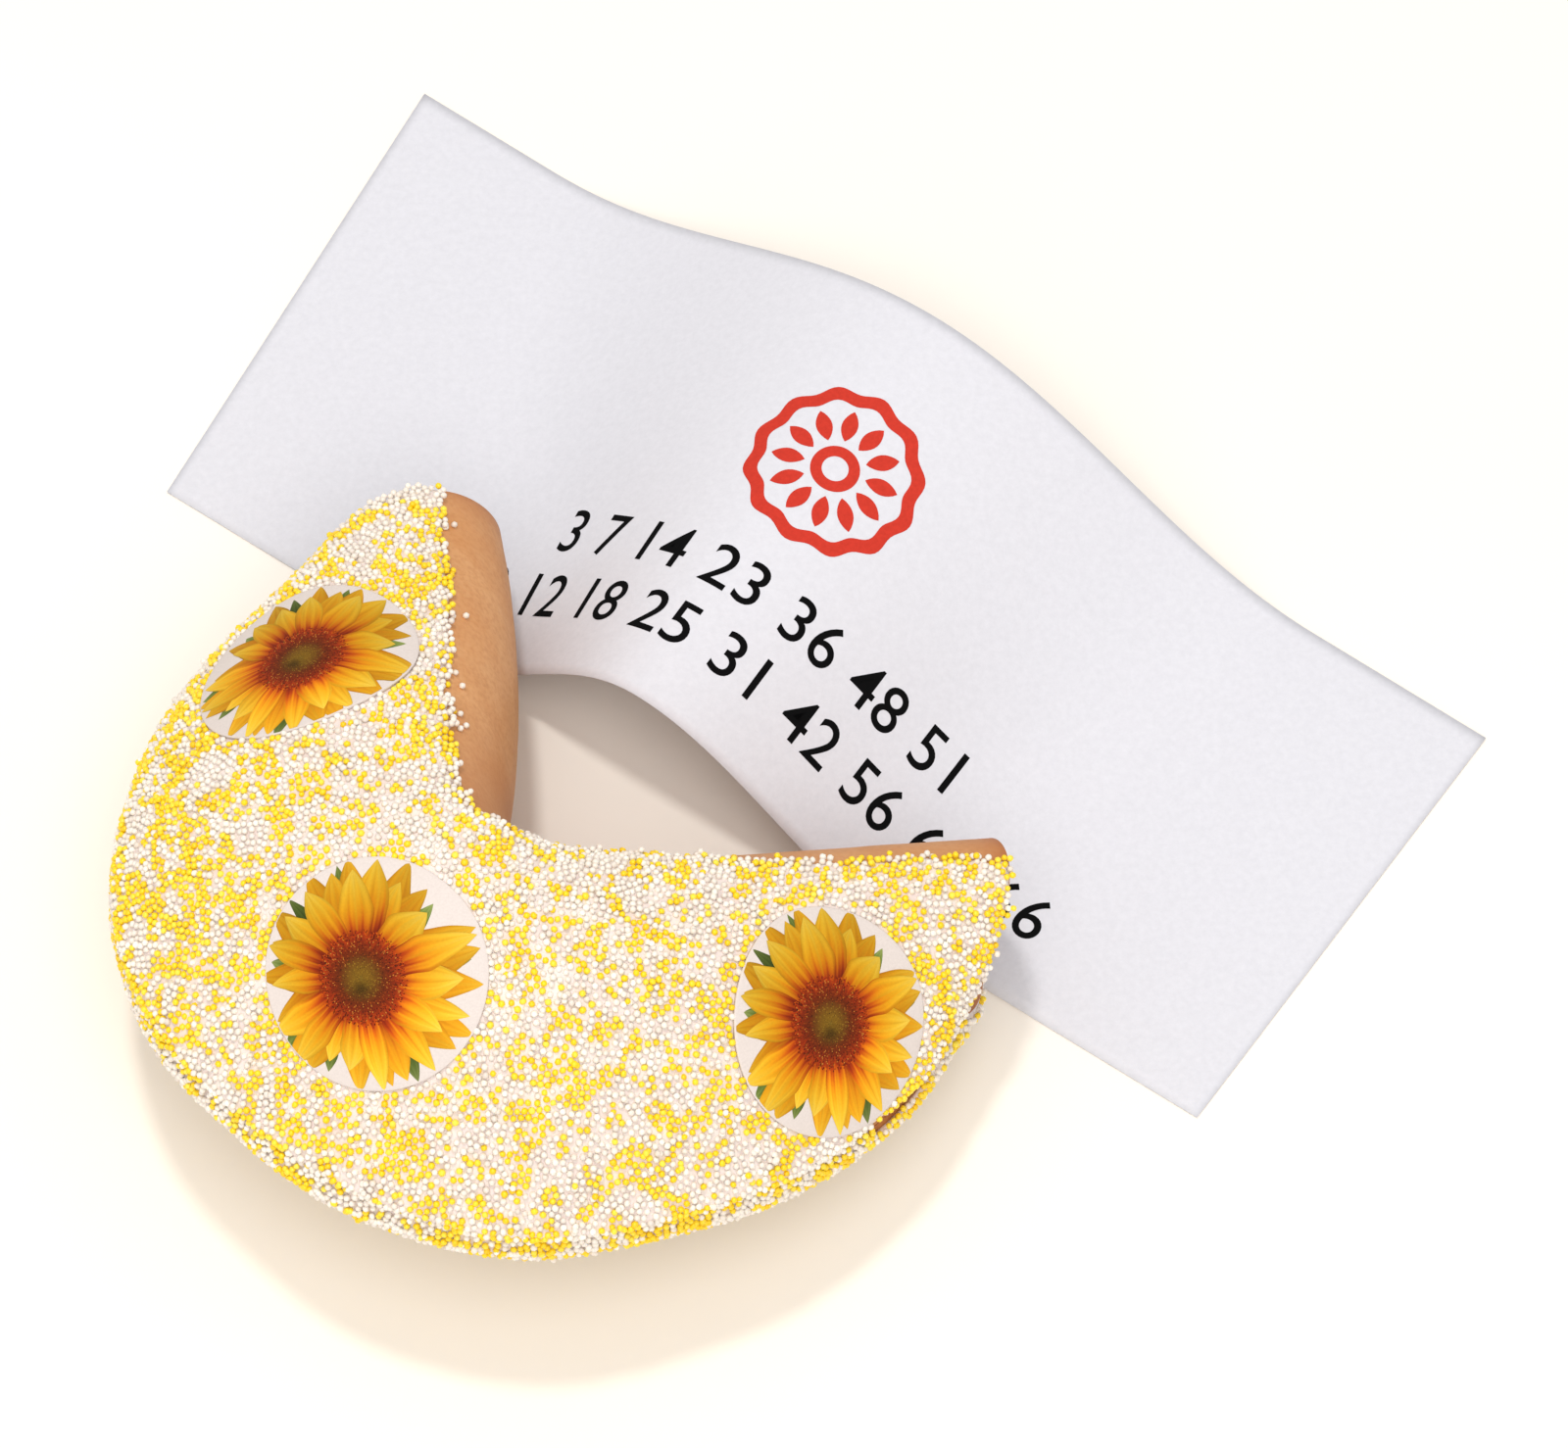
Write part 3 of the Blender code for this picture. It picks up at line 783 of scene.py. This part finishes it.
def build_seam():
    nt, nv = 260, 9
    t = np.linspace(0.004, SEAM_OPEN, nt)
    v = np.linspace(-1, 1, nv)
    T, Vv = np.meshgrid(t, v, indexing="ij")
    fade = np.clip(np.minimum((SEAM_OPEN - T) / 0.02, (T - 0.002) / 0.012), 0, 1) ** 0.5
    outer, n = seam_points(T, Vv, 0.8)
    dip = 0.2 * np.exp(-((Vv + 0.1) / 0.35) ** 2)
    outer = outer - n * dip[..., None] - n * (1.2 * (1 - fade))[..., None]
    inner, _ = seam_points(T, Vv, -1.6)
    rows = np.concatenate([outer, inner[:, ::-1]], 1)
    m = rows.shape[1]
    faces = [tuple(r) for r in grid_faces(nt, m, 0, ring=True)]
    faces.append(tuple(range(m)))
    faces.append(tuple((nt - 1) * m + j for j in range(m))[::-1])
    ob = add_mesh("icing_seam", to_world(rows).reshape(-1, 3), faces, ICING)
    bm = bmesh.new()
    bm.from_mesh(ob.data)
    bmesh.ops.recalc_face_normals(bm, faces=bm.faces)
    bm.to_mesh(ob.data)
    bm.free()
    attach(ob, "root")
    # past the icing the two edges of the wafer show, with a crack between them
    nt = 60
    t = np.linspace(SEAM_OPEN - 0.02, 0.968, nt)
    v = np.linspace(-1.05, 1.05, 17)
    T, Vv = np.meshgrid(t, v, indexing="ij")
    outer, n = seam_points(T, np.clip(Vv, -1, 1), 0.0)
    crack = (0.9 + 0.5 * np.sin(T * 190) * np.sin(T * 71)) * np.exp(-((Vv - 0.1 * np.sin(T * 130)) / 0.2) ** 2)
    outer = outer - n * (0.5 + crack + 1.5 * np.clip((T - 0.94) / 0.028, 0, 1) ** 2)[..., None]
    inner, _ = seam_points(T, np.clip(Vv, -1, 1), -3.4)
    rows = np.concatenate([outer, inner[:, ::-1]], 1)
    m = rows.shape[1]
    faces = [tuple(r) for r in grid_faces(nt, m, 0, ring=True)]
    faces.append(tuple(range(m)))
    faces.append(tuple((nt - 1) * m + j for j in range(m))[::-1])
    tone = np.tile(np.array([0.35, 0.5, 0, 1.0]), (nt * m, 1))
    ob = add_mesh("biscuit_lip_edges", to_world(rows).reshape(-1, 3), faces, BISCUIT, colors=tone)
    bm = bmesh.new()
    bm.from_mesh(ob.data)
    bmesh.ops.recalc_face_normals(bm, faces=bm.faces)
    bm.to_mesh(ob.data)
    bm.free()
    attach(ob, "root")
    rng = np.random.default_rng(SEED + 5)
    k = 26000
    tt = 0.002 + (SEAM_OPEN - 0.002) * rng.random(k)
    keep = rng.random(k) < np.clip((SEAM_OPEN + 0.004 - tt) / 0.025, 0, 1)
    vv = rng.uniform(-1.05, 0.95, k)
    tt, vv = tt[keep], vv[keep]
    P, n = seam_points(tt, vv, 1.0)
    P = P - n * (0.3 * np.exp(-((vv + 0.15) / 0.4) ** 2))[:, None]
    sel = spread(P, 1.14)
    P, n = P[sel], n[sel]
    P = relax(P, n, 4, 1.38)
    C = P + n * rng.uniform(0.25, 0.5, len(P))[:, None]
    r = BEAD_R * rng.uniform(0.93, 1.05, len(P))
    field = fbm(C, 2.8, 2, 40.0) + 0.25 * fbm(C, 9.0, 2, 90.0) + rng.normal(0, 0.21, len(C))
    yellow = field > np.quantile(field, 0.56)
    build_beads("beads_white_seam", C[~yellow], r[~yellow], WHITE, rng)
    build_beads("beads_yellow_seam", C[yellow], r[yellow], YELLOW, rng)
    print("beads seam", len(C))


# ------------------------------------------------------------------ printed discs
def lerp(a, b, x):
    return tuple(p + (q - p) * x for p, q in zip(a, b))


def tone_ramp(stops, x):
    for (x0, c0), (x1, c1) in zip(stops, stops[1:]):
        if x <= x1:
            return np.array(lerp(c0, c1, 0 if x1 == x0 else max(0, (x - x0) / (x1 - x0))))
    return np.array(stops[-1][1])


PETAL_STOPS = [(0.0, srgb(110, 30, 12)), (0.16, srgb(146, 42, 12)), (0.25, srgb(190, 68, 12)), (0.34, srgb(222, 110, 12)),
               (0.44, srgb(240, 148, 16)), (0.58, srgb(247, 174, 26)), (0.80, srgb(252, 198, 48)), (1.0, srgb(254, 212, 76))]
PETAL_BACK = [(0.0, srgb(110, 32, 12)), (0.24, srgb(162, 56, 12)), (0.38, srgb(210, 108, 12)), (0.55, srgb(232, 146, 16)),
              (0.8, srgb(244, 174, 28)), (1.0, srgb(250, 196, 52))]
LEAF_STOPS = [(0.0, srgb(44, 50, 20)), (0.5, srgb(74, 88, 36)), (0.8, srgb(104, 122, 52)), (1.0, srgb(138, 150, 84))]


def petal(rng, ang, r0, r1, width, bend, stops, gain, level):
    """One petal as a small sheet of (x, y, level) and colours; broad, then drawn out to a point."""
    nu, nv = 24, 17
    pts, cols = [], []
    skew = rng.uniform(-0.13, 0.13)
    late = rng.uniform(-0.05, 0.07)
    ph = rng.uniform(0, 6, 3)
    full = rng.uniform(0.40, 0.60)
    for i in range(nu):
        u = i / (nu - 1)
        r = r0 + (r1 - r0) * u
        grow = min(1.0, 0.62 + 0.38 * u / full)
        point = (1 - max(0.0, (u - full) / (1 - full)) ** 1.7) ** 0.92
        w = max(width * 0.5 * grow * point, 0.015)
        w *= 1 + 0.035 * sin(u * 15 + ph[0])
        c = bend * u * u + 0.25 * sin(u * 4 + ph[1])
        for j in range(nv):
            v = 2 * j / (nv - 1) - 1
            y = c + v * w
            pts.append((r * cos(ang) - y * sin(ang), r * sin(ang) + y * cos(ang), level))
            col = tone_ramp(stops, np.clip(u - late + 0.06 * sin(v * 9 + ph[2]) + 0.04 * sin(v * 23 + ph[0]), 0, 1))
            line = 0.5 + 0.5 * cos(v * 13 + sin(u * 5 + ph[1]))
            fine_line = max(0.0, sin(v * 21 + 2.2 * sin(u * 3 + ph[2]))) ** 3
            shade = 1 - 0.08 * line - 0.09 * fine_line - 0.30 * max(0.0, abs(v) - 0.78) / 0.22 * (1 - 0.5 * u)
            shade *= 1 - 0.07 * exp_(-(v / 0.12) ** 2) * (1 - u)
            shade *= 1 + skew * v
            cols.append((*np.clip(col * shade * gain, 0, 1), 1))
    faces = [(i * nv + j, (i + 1) * nv + j, (i + 1) * nv + j + 1, i * nv + j + 1)
             for i in range(nu - 1) for j in range(nv - 1)]
    return pts, cols, faces


def exp_(x):
    return float(np.exp(x))


def sunflower(seed):
    """A layered sunflower drawn flat, in mm: leaf tips, two rounds of petals, seed head."""
    rng = np.random.default_rng(seed)
    P, C, F = [], [], []

    def put(part):
        p, c, f = part
        base = len(P)
        P.extend(p)
        C.extend(c)
        F.extend(tuple(k + base for k in q) for q in f)

    level = 0.010
    for k in range(10):
        a = 2 * pi * k / 10 + rng.uniform(-0.25, 0.25)
        put(petal(rng, a, 9, rng.uniform(18.4, 21.6), rng.uniform(2.8, 5.0), rng.uniform(-1.8, 1.8),
                  LEAF_STOPS, rng.uniform(0.55, 1.15), level))
        level += 0.001
    for n, phase, long, short, w0, w1, stops, base in (
            (19, 0.5, 22.8, 19.4, 5.0, 7.2, PETAL_BACK, 0.60), (18, 0.0, 22.2, 17.0, 5.2, 7.8, PETAL_STOPS, 0.66)):
        for k in rng.permutation(n):
            a = 2 * pi * (k + phase) / n + rng.uniform(-0.15, 0.15)
            lit = 0.5 + 0.5 * cos(a + 1.2)
            put(petal(rng, a, 5.0, rng.uniform(short, long), rng.uniform(w0, w1), rng.uniform(-2.4, 2.4),
                      stops, base + 0.27 * lit + rng.uniform(-0.07, 0.07), level))
            level += 0.002
    # throat behind the seed head: its rim runs out into the petals in fine flames
    rings, segs = 14, 180
    rag = 1 + 0.05 * np.sin(np.arange(segs) * 2 * pi / segs * 31 + 1) + rng.uniform(-0.09, 0.10, segs)
    p, c, f = [(0, 0, level)], [(*srgb(108, 84, 26), 1)], []
    head = [(0.0, srgb(124, 92, 22)), (0.25, srgb(116, 82, 20)), (0.42, srgb(104, 60, 16)),
            (0.58, srgb(100, 40, 11)), (0.78, srgb(118, 37, 10)), (0.92, srgb(146, 46, 12)), (1.0, srgb(170, 58, 12))]
    for i in range(1, rings + 1):
        for j in range(segs):
            u = i / rings
            r = 8.0 * u * (1 + 1.6 * (rag[j] - 1) * max(0, u - 0.6) / 0.4)
            a = 2 * pi * j / segs
            p.append((r * cos(a), r * sin(a), level))
            dark = 1 - 0.62 * exp_(-(((r * cos(a) + 0.2) / 1.9) ** 2 + ((r * sin(a) + 1.9) / 1.4) ** 2))
            k = 1 + 0.10 * sin(j * 1.7 + i * 2.1) + rng.uniform(-0.10, 0.10)
            c.append((*np.clip(tone_ramp(head, u) * dark * k, 0, 1), 1))
    for j in range(segs):
        f.append((0, 1 + j, 1 + (j + 1) % segs))
        for i in range(1, rings):
            a0 = 1 + (i - 1) * segs
            f.append((a0 + j, a0 + segs + j, a0 + segs + (j + 1) % segs, a0 + (j + 1) % segs))
    put((p, c, f))
    level += 0.004
    # florets: a spiral of fine dots, olive in the middle, red-brown and gold outside
    count = 1500
    for k in range(count):
        u = sqrt((k + 0.5) / count)
        a = k * 2.399963 + rng.uniform(-0.10, 0.10)
        r = 8.9 * u + rng.uniform(-0.15, 0.15)
        size = 0.06 + 0.065 * u
        roll = rng.random()
        if u < 0.45:
            col = srgb(152, 118, 36) if roll < 0.32 else srgb(98, 70, 20) if roll < 0.7 else srgb(62, 42, 14)
        elif u < 0.9:
            col = srgb(150, 66, 18) if roll < 0.34 else srgb(84, 30, 12) if roll < 0.70 else srgb(56, 22, 10) if roll < 0.88 \
                else srgb(190, 124, 50)
        else:
            col = srgb(124, 38, 12) if roll < 0.5 else srgb(190, 80, 16) if roll < 0.8 else srgb(82, 26, 10)
        x, y = r * cos(a), r * sin(a)
        dark = 1 - 0.7 * exp_(-(((x + 0.2) / 1.8) ** 2 + ((y + 1.9) / 1.3) ** 2))
        col = tuple(v * dark for v in col)
        m = 5
        p = [(x + size * (1.5 * cos(2 * pi * i / m) * cos(a) - sin(2 * pi * i / m) * sin(a)),
              y + size * (1.5 * cos(2 * pi * i / m) * sin(a) + sin(2 * pi * i / m) * cos(a)), level)
             for i in range(m)]
        put((p, [(*col, 1)] * m, [tuple(range(m))]))
    return np.array(P), np.array(C), F


def clip_to_disc(P, C, F, radius):
    """Pulls what passes the rim back onto it, so that the print ends with the disc."""
    r = np.hypot(P[:, 0], P[:, 1])
    k = np.minimum(1, radius / np.maximum(r, 1e-9))
    P = P.copy()
    P[:, :2] *= k[:, None]
    return P, C, F


DISC_LOW, DISC_HIGH = 1.15, 1.92
FLOWERS = {"far": (2.65, (-0.9, 1.2), 1.0), "middle": (2.22, (1.05, -0.85), 1.0), "right": (1.36, (-0.2, -0.7), 1.0)}


def build_disc(tag, t0, s0):
    turn, shift, scale = FLOWERS[tag]
    rng = np.random.default_rng(SEED + len(tag))
    rings, segs = 26, 128
    ang = np.arange(segs) * 2 * pi / segs
    radii = np.concatenate([np.linspace(0, DISC_R - 0.5, rings - 3), [DISC_R - 0.25, DISC_R - 0.08, DISC_R]])
    drop = np.concatenate([np.zeros(rings - 3), [0.015, 0.06, 0.16]])
    curl = 0.10 * np.sin(2 * ang + rng.uniform(0, 6)) + 0.06 * np.sin(3 * ang + rng.uniform(0, 6))

    def height(x, y, base):
        r = np.hypot(x, y)
        a = np.arctan2(y, x)
        c = np.interp(a % (2 * pi), np.append(ang, 2 * pi), np.append(curl, curl[0]))
        return base + c * np.clip(r / DISC_R, 0, 1) ** 3

    xy = np.stack([np.outer(radii, np.cos(ang)), np.outer(radii, np.sin(ang))], -1).reshape(-1, 2)
    T, S = on_disc(xy, t0, s0)
    base = surface(T, S)
    nn = normal(T, S)
    hi = height(xy[:, 0], xy[:, 1], DISC_HIGH) - np.repeat(drop, segs)
    lo = height(xy[:, 0], xy[:, 1], DISC_LOW)
    top = base + nn * hi[:, None]
    bot = base + nn * lo[:, None]
    V = np.concatenate([to_world(top), to_world(bot)])
    n = rings * segs
    faces = [tuple(r) for r in grid_faces(rings, segs, 0, ring=True)]
    faces += [tuple(r) for r in grid_faces(rings, segs, n, flip=True, ring=True)]
    last = (rings - 1) * segs
    faces += [(last + j, n + last + j, n + last + (j + 1) % segs, last + (j + 1) % segs) for j in range(segs)]
    white = np.array([*srgb(220, 209, 203), 1.0])
    col = np.tile(white, (2 * n, 1))
    ob = add_mesh(f"sugar_disc_{tag}_wafer", V, faces, PRINT, colors=col)
    bm = bmesh.new()
    bm.from_mesh(ob.data)
    bmesh.ops.remove_doubles(bm, verts=bm.verts, dist=1e-7)
    bmesh.ops.recalc_face_normals(bm, faces=bm.faces)
    bm.to_mesh(ob.data)
    bm.free()
    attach(ob, "root")
    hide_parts(f"sugar_disc_{tag}")

    P, C, F = sunflower(77)
    ca, sa = cos(turn), sin(turn)
    xy = np.stack([P[:, 0] * ca - P[:, 1] * sa, P[:, 0] * sa + P[:, 1] * ca], -1) * scale + np.array(shift)
    P = np.column_stack([xy, P[:, 2]])
    P, C, F = clip_to_disc(P, C, F, DISC_R - 0.3)
    T, S = on_disc(P[:, :2], t0, s0)
    base = surface(T, S)
    nn = normal(T, S)
    h = height(P[:, 0], P[:, 1], DISC_HIGH) + P[:, 2] * 0.8
    V = to_world(base + nn * h[:, None])
    flower = add_mesh(f"sugar_disc_{tag}_print", V, F, PRINT, colors=C)
    want = rotate_world(nn[0])
    me = flower.data
    bm = bmesh.new()
    bm.from_mesh(me)
    bm.normal_update()
    back = [fc for fc in bm.faces if fc.normal.dot(Vector(want)) < 0]
    bmesh.ops.reverse_faces(bm, faces=back)
    bm.to_mesh(me)
    bm.free()
    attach(flower, "root")
    return ob, flower


# ------------------------------------------------------------------ paper slip
def slip_rows(w):
    """Chord start, direction and hump numbers at w, 0 near edge to 1 far edge."""
    left = np.array(SLIP_NEAR_L) * (1 - w) + np.array(SLIP_FAR_L) * w
    right = np.array(SLIP_NEAR_R) * (1 - w) + np.array(SLIP_FAR_R) * w
    chord = hypot(*(right - left))
    at = (HUMP_AT_NEAR + (HUMP_AT_FAR - HUMP_AT_NEAR) * w) * chord
    half = HUMP_W_NEAR + (HUMP_W_FAR - HUMP_W_NEAR) * w
    pinned = HUMP_W_PINNED + (HUMP_W_FAR - HUMP_W_PINNED) * w
    top = HUMP_H_NEAR + (HUMP_H_FAR - HUMP_H_NEAR) * w
    return left, right, chord, at, half, pinned, top


SLIP_TABLE = []
for _w in np.linspace(0, 1, 41):
    left, right, chord, at, half, pinned, top = slip_rows(_w)
    x = np.linspace(0, chord, 801)
    z = top * np.cos(pi / 2 * np.clip((x - at) / np.where(x < at, pinned, half), -1, 1)) ** 2
    run = np.concatenate([[0], np.cumsum(np.hypot(np.diff(x), np.diff(z)))])
    SLIP_TABLE.append((left, right, chord, x, z, run / run[-1]))


def slip_point(u, w, lift=0.0):
    """A point of the paper: u along it by true length, w across it, both 0 to 1. mm, object frame."""
    k = min(max(w, 0), 1) * 40
    i = min(int(k), 39)
    out = []
    for row in (SLIP_TABLE[i], SLIP_TABLE[i + 1]):
        left, right, chord, x, z, run = row
        xx = np.interp(u, run, x)
        p = left + (right - left) * (xx / chord)
        out.append(np.array([p[0] - ORIGIN[0], p[1] - ORIGIN[1], np.interp(xx, x, z)]))
    p = out[0] * (1 - (k - i)) + out[1] * (k - i)
    p[2] += lift
    return p


def slip_normal(u, w):
    e = 2e-3
    a = slip_point(min(u + e, 1), w) - slip_point(max(u - e, 0), w)
    b = slip_point(u, min(w + e, 1)) - slip_point(u, max(w - e, 0))
    n = np.cross(a, b)
    return n / np.linalg.norm(n)


def build_slip():
    nu, nw = 141, 41
    top = np.zeros((nu, nw, 3))
    nn = np.zeros((nu, nw, 3))
    for i in range(nu):
        for j in range(nw):
            u, w = i / (nu - 1), j / (nw - 1)
            top[i, j] = slip_point(u, w)
            nn[i, j] = slip_normal(u, w)
    hi = top + nn * 0.28
    lo = top + nn * 0.06
    V = np.concatenate([hi.reshape(-1, 3), lo.reshape(-1, 3)]) * MM
    n = nu * nw
    faces = [tuple(r) for r in grid_faces(nu, nw, 0)] + [tuple(r) for r in grid_faces(nu, nw, n, flip=True)]
    border = [(i, 0) for i in range(nu)] + [(nu - 1, j) for j in range(1, nw)] \
        + [(i, nw - 1) for i in range(nu - 2, -1, -1)] + [(0, j) for j in range(nw - 2, 0, -1)]
    idx = [i * nw + j for i, j in border]
    faces += [(b, a, a + n, b + n) for a, b in zip(idx, idx[1:] + idx[:1])]
    ob = add_mesh("paper_slip", V, faces, PAPER)
    bm = bmesh.new()
    bm.from_mesh(ob.data)
    bmesh.ops.recalc_face_normals(bm, faces=bm.faces)
    bm.to_mesh(ob.data)
    bm.free()
    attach(ob, "root")
    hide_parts("fortune_slip")
    return ob


SLIP_LONG, SLIP_WIDE = 279.4, 108.0


def lay_on_slip(bm, name, mat):
    """A flat bmesh in paper millimetres (x along, y across) becomes ink on the paper."""
    for axis, size, step in ((0, SLIP_LONG, 2.0), (1, SLIP_WIDE, 4.0)):
        for k in range(1, int(size / step)):
            co = Vector((k * step, 0, 0)) if axis == 0 else Vector((0, k * step, 0))
            no = Vector((1, 0, 0)) if axis == 0 else Vector((0, 1, 0))
            lo = min(v.co[axis] for v in bm.verts)
            hi = max(v.co[axis] for v in bm.verts)
            if lo < co[axis] < hi:
                bmesh.ops.bisect_plane(bm, geom=bm.verts[:] + bm.edges[:] + bm.faces[:], dist=1e-5,
                                       plane_co=co, plane_no=no)
    for v in bm.verts:
        u, w = v.co.x / SLIP_LONG, v.co.y / SLIP_WIDE
        p = slip_point(u, w) + slip_normal(u, w) * 0.33
        v.co = Vector(p * MM)
    bm.normal_update()
    bmesh.ops.reverse_faces(bm, faces=[f for f in bm.faces if f.normal.z < 0])
    me = bpy.data.meshes.new(name)
    bm.to_mesh(me)
    bm.free()
    me.materials.append(mat)
    ob = bpy.data.objects.new(name, me)
    bpy.context.scene.collection.objects.link(ob)
    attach(ob, "root")
    return ob


def text_line(name, words, x, y, height, spacing=1.0, slant=0.0):
    """Plain numbers set on the paper; x, y is the first one's lower left corner, mm."""
    cu = bpy.data.curves.new(name, "FONT")
    cu.body = words
    cu.size = height / 0.7
    cu.offset = height * 0.004
    cu.space_character = spacing
    cu.shear = slant
    cu.resolution_u = 6
    tmp = bpy.data.objects.new(name + "_tmp", cu)
    bpy.context.scene.collection.objects.link(tmp)
    dg = bpy.context.evaluated_depsgraph_get()
    me = bpy.data.meshes.new_from_object(tmp.evaluated_get(dg))
    bm = bmesh.new()
    bm.from_mesh(me)
    bpy.data.objects.remove(tmp)
    bpy.data.curves.remove(cu)
    bpy.data.meshes.remove(me)
    for v in bm.verts:
        v.co = Vector((v.co.x + x, v.co.y + y, 0))
    return lay_on_slip(bm, name, INK)


def ring_band(bm, cx, cy, r0, r1, segs=72, phase=0.0, ripple=0.0, count=0):
    rows = []
    for k in range(segs):
        a = 2 * pi * k / segs
        g = 1 + ripple * cos(count * a + phase)
        rows.append((bm.verts.new((cx + r0 * g * cos(a), cy + r0 * g * sin(a), 0)),
                     bm.verts.new((cx + r1 * g * cos(a), cy + r1 * g * sin(a), 0))))
    for k in range(segs):
        a, b = rows[k], rows[(k + 1) % segs]
        bm.faces.new((a[0], a[1], b[1], b[0]))


def leaf_shape(bm, cx, cy, ang, r0, r1, width, n=10):
    left, right = [], []
    for i in range(n + 1):
        u = i / n
        r = r0 + (r1 - r0) * u
        w = width * 0.5 * sin(pi * u) ** 0.8 + 0.02
        for side, row in ((1, left), (-1, right)):
            row.append(bm.verts.new((cx + r * cos(ang) - side * w * sin(ang), cy + r * sin(ang) + side * w * cos(ang), 0)))
    for i in range(n):
        bm.faces.new((left[i], right[i], right[i + 1], left[i + 1]))


def build_motif():
    """A plain red rosette: rings round a ring of drops."""
    bm = bmesh.new()
    cx, cy = 0.492 * SLIP_LONG, 0.612 * SLIP_WIDE
    ring_band(bm, cx, cy, 15.6, 18.6, 120, 0, 0.035, 12)
    ring_band(bm, cx, cy, 2.8, 5.2, 60)
    for k in range(12):
        leaf_shape(bm, cx, cy, 2 * pi * k / 12 + pi / 12, 6.6, 13.8, 3.4)
    return lay_on_slip(bm, "rosette_red", RED)


# ------------------------------------------------------------------ put it together
build_biscuit()
build_icing(1)
build_icing(-1)
cover_with_beads(1)
cover_with_beads(-1)
build_seam()
for tag, t0, s0 in DISCS:
    build_disc(tag, t0, s0)
build_slip()
text_line("numbers_upper", "3 7 14 23 36 48 51", 0.300 * SLIP_LONG, 0.272 * SLIP_WIDE, 10.0, 1.05)
text_line("numbers_lower", "5 9 12 18 25 31 42 56 60 66", 0.205 * SLIP_LONG, 0.128 * SLIP_WIDE, 10.0, 1.05)
build_motif()

# ------------------------------------------------------------------ floor, light, camera
def build_floor():
    n = Nodes("floor_white")
    c = n.coords()
    n.base(n.ramp(n.noise(c, 6, 2), [(0.3, srgb(244, 238, 230)), (0.7, srgb(247, 241, 233))]))
    n.p.inputs["Roughness"].default_value = 0.6
    n.p.inputs["Specular IOR Level"].default_value = 0.2
    me = bpy.data.meshes.new("floor")
    s = 6.0
    me.from_pydata([(-s, -s, -0.0003), (s, -s, -0.0003), (s, s, -0.0003), (-s, s, -0.0003)], [], [(0, 1, 2, 3)])
    me.materials.append(n.mat)
    ob = bpy.data.objects.new("floor", me)
    bpy.context.scene.collection.objects.link(ob)
    return ob


def area_light(name, loc, target, size, power, color=(1, 1, 1)):
    li = bpy.data.lights.new(name, "AREA")
    li.shape = "DISK"
    li.size = size
    li.energy = power
    li.color = color
    ob = bpy.data.objects.new(name, li)
    ob.location = loc
    ob.rotation_euler = (Vector(target) - Vector(loc)).to_track_quat("-Z", "Y").to_euler()
    bpy.context.scene.collection.objects.link(ob)
    return ob


def set_stage():
    scene = bpy.context.scene
    scene.view_settings.view_transform = "Standard"
    world = bpy.data.worlds.new("studio")
    scene.world = world
    world.use_nodes = True
    bg = world.node_tree.nodes["Background"]
    bg.inputs["Color"].default_value = (1.0, 0.985, 0.965, 1)
    bg.inputs["Strength"].default_value = 0.645
    build_floor()
    area_light("key", (-0.21, 0.12, 1.5), (-0.03, -0.02, 0.03), 0.15, 7.3, (1.0, 0.975, 0.94))
    area_light("front", (-0.05, -0.75, 1.45), (-0.04, -0.02, 0.03), 1.1, 11.3, (1.0, 0.98, 0.955))
    area_light("low", (-0.25, -1.7, 0.55), (-0.04, -0.05, 0.03), 1.1, 3.2, (1.0, 0.985, 0.96))


ELEV = radians(64.0)
FOCAL_PX = 6240.0
REF_PX = (570.0, 915.0)
DIST = 1.1986


def set_camera():
    cam = bpy.data.cameras.new("camera")
    cam.sensor_fit = "HORIZONTAL"
    cam.sensor_width = 36.0
    cam.lens = FOCAL_PX * 36.0 / 1600.0
    cam.clip_start = 0.05
    cam.clip_end = 20
    ob = bpy.data.objects.new("camera", cam)
    bpy.context.scene.collection.objects.link(ob)
    ref = Vector((-ORIGIN[0], -ORIGIN[1], REST_H)) * MM
    right = Vector((1, 0, 0))
    up = Vector((0, sin(ELEV), cos(ELEV)))
    toward = Vector((0, -cos(ELEV), sin(ELEV)))
    ob.location = ref + toward * DIST
    dx = (800.0 - REF_PX[0]) / FOCAL_PX
    dy = (REF_PX[1] - 739.0) / FOCAL_PX
    look = (-toward + right * dx + up * dy).normalized()
    r = look.cross(up).normalized()
    u = r.cross(look)
    ob.matrix_world = Matrix(((r.x, u.x, -look.x, ob.location.x), (r.y, u.y, -look.y, ob.location.y),
                              (r.z, u.z, -look.z, ob.location.z), (0, 0, 0, 1)))
    bpy.context.scene.camera = ob


set_stage()
set_camera()
bpy.context.view_layer.update()
